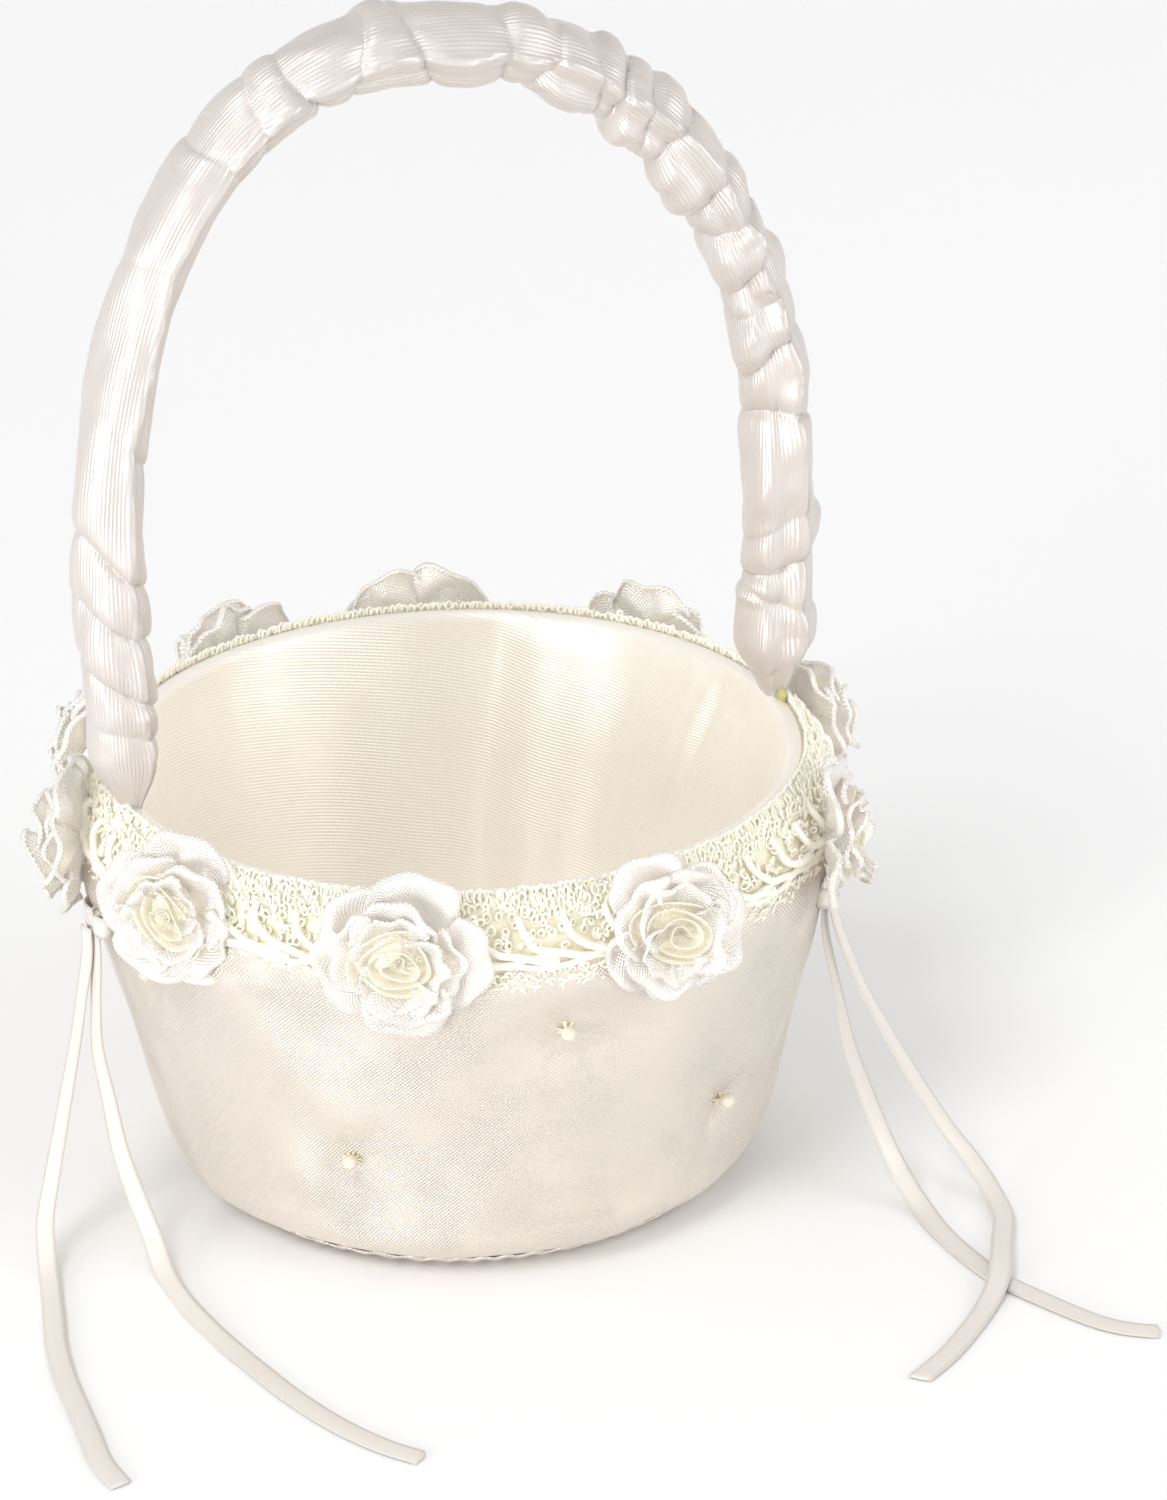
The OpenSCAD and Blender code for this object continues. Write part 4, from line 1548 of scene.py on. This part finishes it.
@dataclass(frozen=True)
class Rose:
    """A ribbon rose: rows of cupped petals with turned edges round a rolled heart.

    Attributes:
        number: Its number round the rim, which also fixes its own unevenness.
        bloom: How it sits on the rim.
        rows: Its rows of petals, from the outside in.
        turns: How many turns the heart's ribbon makes.
        heart_reach: The radius of the heart in mm.
        bed: The height of the bed of cloth under the heart in mm.
        bed_r: The radius of that bed in mm.
        thickness: The ribbon's thickness in mm.
        height: The height of the rose's middle above the table in mm.
    """

    number: int
    bloom: Bloom
    rows: tuple[PetalRow, ...] = (
        PetalRow(5, 18.6, 0.6, 3.0, 1.3, 0.8), PetalRow(4, 14.2, 1.6, 6.4, 1.3, 0.7),
        PetalRow(3, 11.2, 2.6, 8.4, 1.3, 0.6))
    turns: float = 3.6
    heart_reach: float = 7.4
    bed: float = 6.2
    bed_r: float = 9.0
    thickness: float = 0.25
    height: float = 90.0

    def petal(self, row: PetalRow, k: int, rng: np.random.Generator) -> bpy.types.Object:
        """Shapes one petal."""
        middle = TAU * k / row.count + rng.normal(0, 0.13)
        half = math.pi / row.count * row.wide * rng.uniform(0.9, 1.12)
        reach = row.reach * rng.uniform(0.84, 1.08)
        tip = row.tip + rng.uniform(-1.1, 1.3)
        skew, cup = rng.uniform(-0.25, 0.25), rng.uniform(0.4, 1.6)
        under = rng.choice([-1, 1]) * rng.uniform(0.5, 1.2)
        waves = Ripples(int(rng.integers(1, 9999)), (1, 4), (9, 22), 5)

        def place(u: Array, v: Array) -> Array:
            """Puts a point of the petal round the heart."""
            side = 2 * u - 1
            root, lip_at = 2.2, 0.84
            span = (reach - root) * (1 - 0.30 * np.abs(side + skew * v) ** 3.2)
            roll = np.clip((v - lip_at) / 0.16, 0, 1)
            body = np.minimum(v, lip_at) / lip_at
            r = root + (span - row.lip) * body + row.lip * np.sin(roll * 2.6)
            angle = middle + side * half * (0.62 + 0.38 * np.sqrt(body))
            z = row.base + (tip - row.base) * body ** 1.35 - row.lip * (1 - np.cos(roll * 2.6))
            z += cup * (side ** 2 - 0.35) * body + under * side * body
            z += 1.3 * waves.at(angle * 2, r) * body
            z += 0.5 * np.cos(11 * angle) * (1 - body) * body * 3
            r = r + 0.8 * waves.at(angle * 3, r * 0.4 + 50) * body
            return np.column_stack([r * np.cos(angle), r * np.sin(angle), z])

        return lay_grid("petal", 16, 14, place, (2 * half * reach * 0.8, reach))

    def spiral(self, rng: np.random.Generator) -> bpy.types.Object:
        """Rolls the heart from one ribbon standing on its edge."""
        waves = Ripples(int(rng.integers(1, 9999)), (3, 11), (40, 80), 6)
        stretch = rng.uniform(1.12, 1.3)

        def place(u: Array, v: Array) -> Array:
            """Puts a point of the ribbon on the spiral."""
            angle = TAU * self.turns * u
            r = 0.7 + (self.heart_reach - 0.7) * u ** 0.9
            wave = waves.at(angle / self.turns, angle)
            r = r + 0.4 * wave + 2.2 * v ** 2 * (0.3 + 0.7 * u)
            top = 9.4 - 2.4 * u ** 1.5 + 0.8 * waves.at(angle / self.turns, angle + 31)
            root = 3.4 - 1.2 * u
            return np.column_stack([stretch * r * np.cos(angle), r * np.sin(angle) / stretch,
                                    root + (top - root) * v - 0.5 * v ** 6])

        def place_bed(u: Array, v: Array) -> Array:
            """Puts a point of the folded bed of cloth that closes the gaps of the roll."""
            angle, r = TAU * u, self.bed_r * (1 - v)
            z = self.bed - 0.035 * r ** 2 + 0.4 * waves.at(angle, r)
            return np.column_stack([stretch * r * np.cos(angle), r * np.sin(angle) / stretch, z])

        length = math.pi * self.turns * self.heart_reach
        roll = lay_grid("roll", 200, 8, place, (length, 8))
        bed = lay_grid("bed", 32, 8, place_bed, (28, 9), joined=True)
        return join("heart", [roll, bed])

    def build(self, shape: BowlShape, wardrobe: Wardrobe) -> None:
        """Builds the rose and sets it on the rim."""
        rng = np.random.default_rng(100 + self.number)
        petals = [self.petal(row, k, rng) for row in self.rows for k in range(row.count)]
        tag = f"{self.number:02d}"
        outer = join(f"rose_{tag}_petals", petals)
        heart = self.spiral(rng)
        heart.name = heart.data.name = f"rose_{tag}_heart"
        bloom = self.bloom
        base = Vector((shape.belly_r + 1.8, 0, self.height))
        spot = (Matrix.Rotation(math.radians(bloom.angle), 4, "Z") @ Matrix.Translation(base * MM)
                @ Matrix.Rotation(math.radians(bloom.yaw), 4, "Z")
                @ Matrix.Rotation(math.radians(90 - bloom.pitch), 4, "Y")
                @ Matrix.Rotation(math.radians(bloom.turn), 4, "Z") @ Matrix.Scale(bloom.size, 4))
        for piece in (outer, heart):
            apply_modifier(piece, "SOLIDIFY", thickness=self.thickness * MM, offset=0)
            piece.data.transform(spot)
        settle(outer, wardrobe.rose, "rose_ribbon", f"rose_petals_{tag}")
        settle(heart, wardrobe.heart, "rose_heart_ribbon", f"rose_heart_{tag}")


# ---- Padding and the frame's own pieces ----


@dataclass(frozen=True)
class Batting:
    """The sealed padding between the satin and the form.

    Attributes:
        wall_gap: How far the wall's padding starts outside the lining in mm.
        thin_low: The inner side of the lining's thin padding, in mm outside the lining.
        thin_high: The outer side of that padding.
        handle_r: The radius of the handle's padding in mm.
        fill: How full each pad is, from 0, slack, to 1, tight; not used.
    """

    wall_gap: float = 5.6
    thin_low: float = 1.7
    thin_high: float = 3.0
    handle_r: float = 4.6
    fill: float = 0.7

    def ring_pad(self, name: str, node: str, line: Array, wardrobe: Wardrobe, seed: int) -> None:
        """Builds one closed ring of batting.

        Args:
            name: The new piece's name.
            node: The CAD node that it stands for.
            line: Its closed outline as radius and height, in mm.
            wardrobe: The materials.
            seed: Fixes its lumps.
        """
        def place(u: Array, v: Array) -> Array:
            """Puts a point of the batting round the bowl."""
            angle = TAU * u
            spots = along(line, v)
            spots[:, 0] += 0.12 * Ripples(seed, (5, 17), (14, 40)).at(angle, spots[:, 1])
            return ring(spots, angle)

        tall = run_length(line)
        pad = lay_grid(name, 120, 48, place, (TAU * 70, tall), joined=True)
        settle(pad, wardrobe.batting, "batting", node)

    def build(self, shape: BowlShape, arch: Arch, wardrobe: Wardrobe) -> None:
        """Builds the four pads."""
        top = shape.height - 5
        mid = shape.height * 0.9
        self.ring_pad("wall_batting", "wall_padding", np.array([
            [shape.lining_r(9) + self.wall_gap, 9], [64.5, 15.4], [shape.belly_r - 1.6, shape.belly_z],
            [shape.belly_r - 2.2, shape.belly_z + 7], [shape.lining_r(mid) + self.wall_gap, mid],
            [shape.lining_r(9) + self.wall_gap, 9]]), wardrobe, 61)
        thin = ((8, self.thin_low), (8, self.thin_high), (top - 4, self.thin_high),
                (top - 4, self.thin_low), (8, self.thin_low))
        self.ring_pad("lining_batting", "lining_padding",
                      np.array([[shape.lining_r(z) + gap, z] for z, gap in thin]), wardrobe, 62)
        low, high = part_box("floor_pad")
        edge = high[0] / MM - 0.4
        self.ring_pad("floor_batting", "floor_pad", np.array([
            [0, low[2] / MM], [edge, low[2] / MM], [edge, high[2] / MM - 0.2],
            [0, high[2] / MM - 0.2]]), wardrobe, 63)
        line = arch.line(4.0)[1:-1]
        outward = np.cross(unit(np.gradient(line, axis=0)), FRONT)

        def place(u: Array, v: Array) -> Array:
            """Puts a point of the handle's batting round its core."""
            phi = -TAU * v
            r = self.handle_r + 0.25 * Ripples(64, (1, 5), (15, 40)).at(phi, u * 400)
            t = np.clip(u, 0, 1)
            slim = 0.25 + 0.75 * smooth_step(np.minimum(u, 1 - u) * 24)
            return (along(line, t) + (r * np.cos(phi) * slim)[:, None] * along(outward, t)
                    + (r * np.sin(phi) * slim)[:, None] * np.array((0.0, 1.0, 0.0)))

        pad = lay_grid("handle_batting", 160, 24, place, (400, 38), joined=True)
        settle(pad, wardrobe.batting, "batting", "handle_padding")


def dress_frame(frame: dict, wardrobe: Wardrobe) -> None:
    """Gives the CAD nodes that stay their finishes.

    Args:
        frame: The loaded frame.
        wardrobe: The materials.
    """
    for node, material in (("pearls", wardrobe.pearl), ("form_wall", wardrobe.plastic),
                           ("form_base", wardrobe.plastic), ("handle_core", wardrobe.core)):
        mesh = frame["nodes"][node].data
        mesh.materials.clear()
        mesh.materials.append(material)


def glue_bead(shape: BowlShape, wardrobe: Wardrobe) -> None:
    """Sets the bead of glue beside the right foot of the handle."""
    bpy.ops.object.select_all(action="DESELECT")
    bpy.ops.mesh.primitive_ico_sphere_add(subdivisions=3, radius=1.5 * MM)
    bead = bpy.context.object
    bead.name = bead.data.name = "glue_bead"
    bpy.ops.object.mode_set(mode="EDIT")
    bpy.ops.transform.resize(value=(0.8, 1.0, 1.3))
    bpy.ops.transform.vertex_random(offset=0.2 * MM, uniform=0.6, seed=4)
    bpy.ops.object.mode_set(mode="OBJECT")
    bpy.ops.object.shade_smooth()
    bead.data.transform(Matrix.Translation(Vector((76.0, -6.2, shape.height + 1.0)) * MM))
    settle(bead, wardrobe.glue, "thread")


# ---- Studio ----


@dataclass(frozen=True)
class Lamp:
    """One studio light, aimed at the basket.

    Attributes:
        name: The light's name.
        kind: Its type, AREA or SUN.
        place: Where it stands, in metres.
        spread: The width of an area light in metres, or the angle of a sun in radians.
        power: Its power.
    """

    name: str
    kind: str
    place: tuple[float, float, float]
    spread: float
    power: float

    def build(self) -> None:
        """Hangs the light and turns it to the basket."""
        bpy.ops.object.light_add(type=self.kind, location=self.place)
        light = bpy.context.object
        light.name = light.data.name = self.name
        if self.kind == "AREA":
            light.data.shape = "DISK"
            light.data.size = self.spread
        else:
            light.data.angle = self.spread
        light.data.energy = self.power
        aim = Vector((0, 0, 0.1)) - light.location
        light.rotation_euler = aim.to_track_quat("-Z", "Y").to_euler()


LAMPS = (
    Lamp("low", "AREA", (-1.0, -0.6, 0.16), 0.45, 6.5),
    Lamp("fill", "AREA", (0.9, -1.0, 0.35), 0.9, 5.0),
    Lamp("key", "SUN", (-0.6, -0.5, 1.0), math.radians(20), 0.8),
)


@dataclass(frozen=True)
class Studio:
    """The floor, the lights and the camera.

    Attributes:
        azimuth: The camera's direction round the basket in degrees.
        elevation: The camera's height above the horizon in degrees.
        roll: The camera's roll in degrees.
        distance: The camera's distance from the middle of the rim in metres.
        lens: The lens in mm on a 36 mm high sensor.
        aim_right: How far to the right of the rim's middle the camera aims, in metres.
        aim_down: How far below it the camera aims, in metres.
        sky: The strength of the white world.
    """

    azimuth: float = -21.0
    elevation: float = 24.5
    roll: float = -1.0
    distance: float = 1.3
    lens: float = 140.4
    aim_right: float = 0.0283
    aim_down: float = 0.0011
    sky: float = 0.74

    def set_camera(self, rim_z: float) -> None:
        """Sets the camera for the whole frame.

        Args:
            rim_z: The rim's height in metres.
        """
        a, e, r = (math.radians(x) for x in (self.azimuth, self.elevation, self.roll))
        back = Vector((math.sin(a) * math.cos(e), -math.cos(a) * math.cos(e), math.sin(e)))
        level = Vector((math.cos(a), math.sin(a), 0))
        rise = back.cross(level)
        right = level * math.cos(r) + rise * math.sin(r)
        up = rise * math.cos(r) - level * math.sin(r)
        place = (Vector((0, 0, rim_z)) + back * self.distance + right * self.aim_right
                 - up * self.aim_down)
        bpy.ops.object.select_all(action="DESELECT")
        bpy.ops.object.camera_add()
        camera = bpy.context.object
        camera.name = "camera"
        camera.matrix_world = Matrix((
            (right.x, up.x, back.x, place.x), (right.y, up.y, back.y, place.y),
            (right.z, up.z, back.z, place.z), (0, 0, 0, 1)))
        camera.data.sensor_fit = "VERTICAL"
        camera.data.sensor_height = 36
        camera.data.lens = self.lens
        camera.data.clip_start = 0.05
        bpy.context.scene.camera = camera

    def set_floor(self) -> None:
        """Builds a pale floor that curves up into a low backdrop all round."""
        bpy.ops.object.select_all(action="DESELECT")
        bpy.ops.mesh.primitive_circle_add(vertices=96, radius=2.6, fill_type="NGON")
        floor = bpy.context.object
        floor.name = floor.data.name = "studio_floor"
        bpy.ops.object.mode_set(mode="EDIT")
        bpy.ops.mesh.select_all(action="SELECT")
        bpy.ops.mesh.inset(thickness=0.3)
        bpy.ops.mesh.select_all(action="DESELECT")
        bpy.ops.mesh.select_non_manifold()
        for grow, lift in ((1.05, 0.03), (1.045, 0.10), (1.03, 0.18), (1.015, 0.28), (1.0, 0.5)):
            bpy.ops.mesh.extrude_edges_move(TRANSFORM_OT_translate={"value": (0, 0, lift)})
            bpy.ops.transform.resize(value=(grow, grow, 1))
        bpy.ops.object.mode_set(mode="OBJECT")
        bpy.ops.object.shade_smooth()
        paper = Plain("paper", (0.95, 0.95, 0.95), (0.93, 0.93, 0.93), 3, 0.01, 0.9)
        floor.data.materials.append(paper.make())

    def set_lights(self) -> None:
        """Sets the world and the soft lights."""
        world = bpy.data.worlds.new("studio_world")
        world.use_nodes = True
        background = world.node_tree.nodes["Background"]
        background.inputs[0].default_value = (1, 1, 1, 1)
        background.inputs[1].default_value = self.sky
        bpy.context.scene.world = world
        bpy.context.scene.view_settings.view_transform = "Standard"
        for lamp in LAMPS:
            lamp.build()


def main() -> None:
    """Builds the basket piece by piece."""
    logging.basicConfig(level=logging.INFO, format="%(name)s: %(message)s")
    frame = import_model()
    studio = Studio()
    shape = BowlShape.from_frame()
    studio.set_camera(shape.height * MM)
    tails = RibbonTails()
    wardrobe = Wardrobe.mixed(tails.width)
    tails.build(shape, wardrobe)
    pearls = PearlRow()
    arch = Arch(shape.height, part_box("handle_sleeve")[1][2] / MM - SLEEVE_CROWN)
    Batting().build(shape, arch, wardrobe)
    BowlCover().build(shape, pearls, wardrobe)
    Hem().build(shape, wardrobe)
    Lining().build(shape, wardrobe)
    pearls.build(shape, wardrobe)
    Sleeve().build(arch, wardrobe)
    Braid().build(shape, wardrobe)
    for number, bloom in enumerate(BLOOMS, 1):
        Rose(number, bloom).build(shape, wardrobe)
    dress_frame(frame, wardrobe)
    glue_bead(shape, wardrobe)
    studio.set_floor()
    studio.set_lights()


if __name__ == "__main__":
    main()
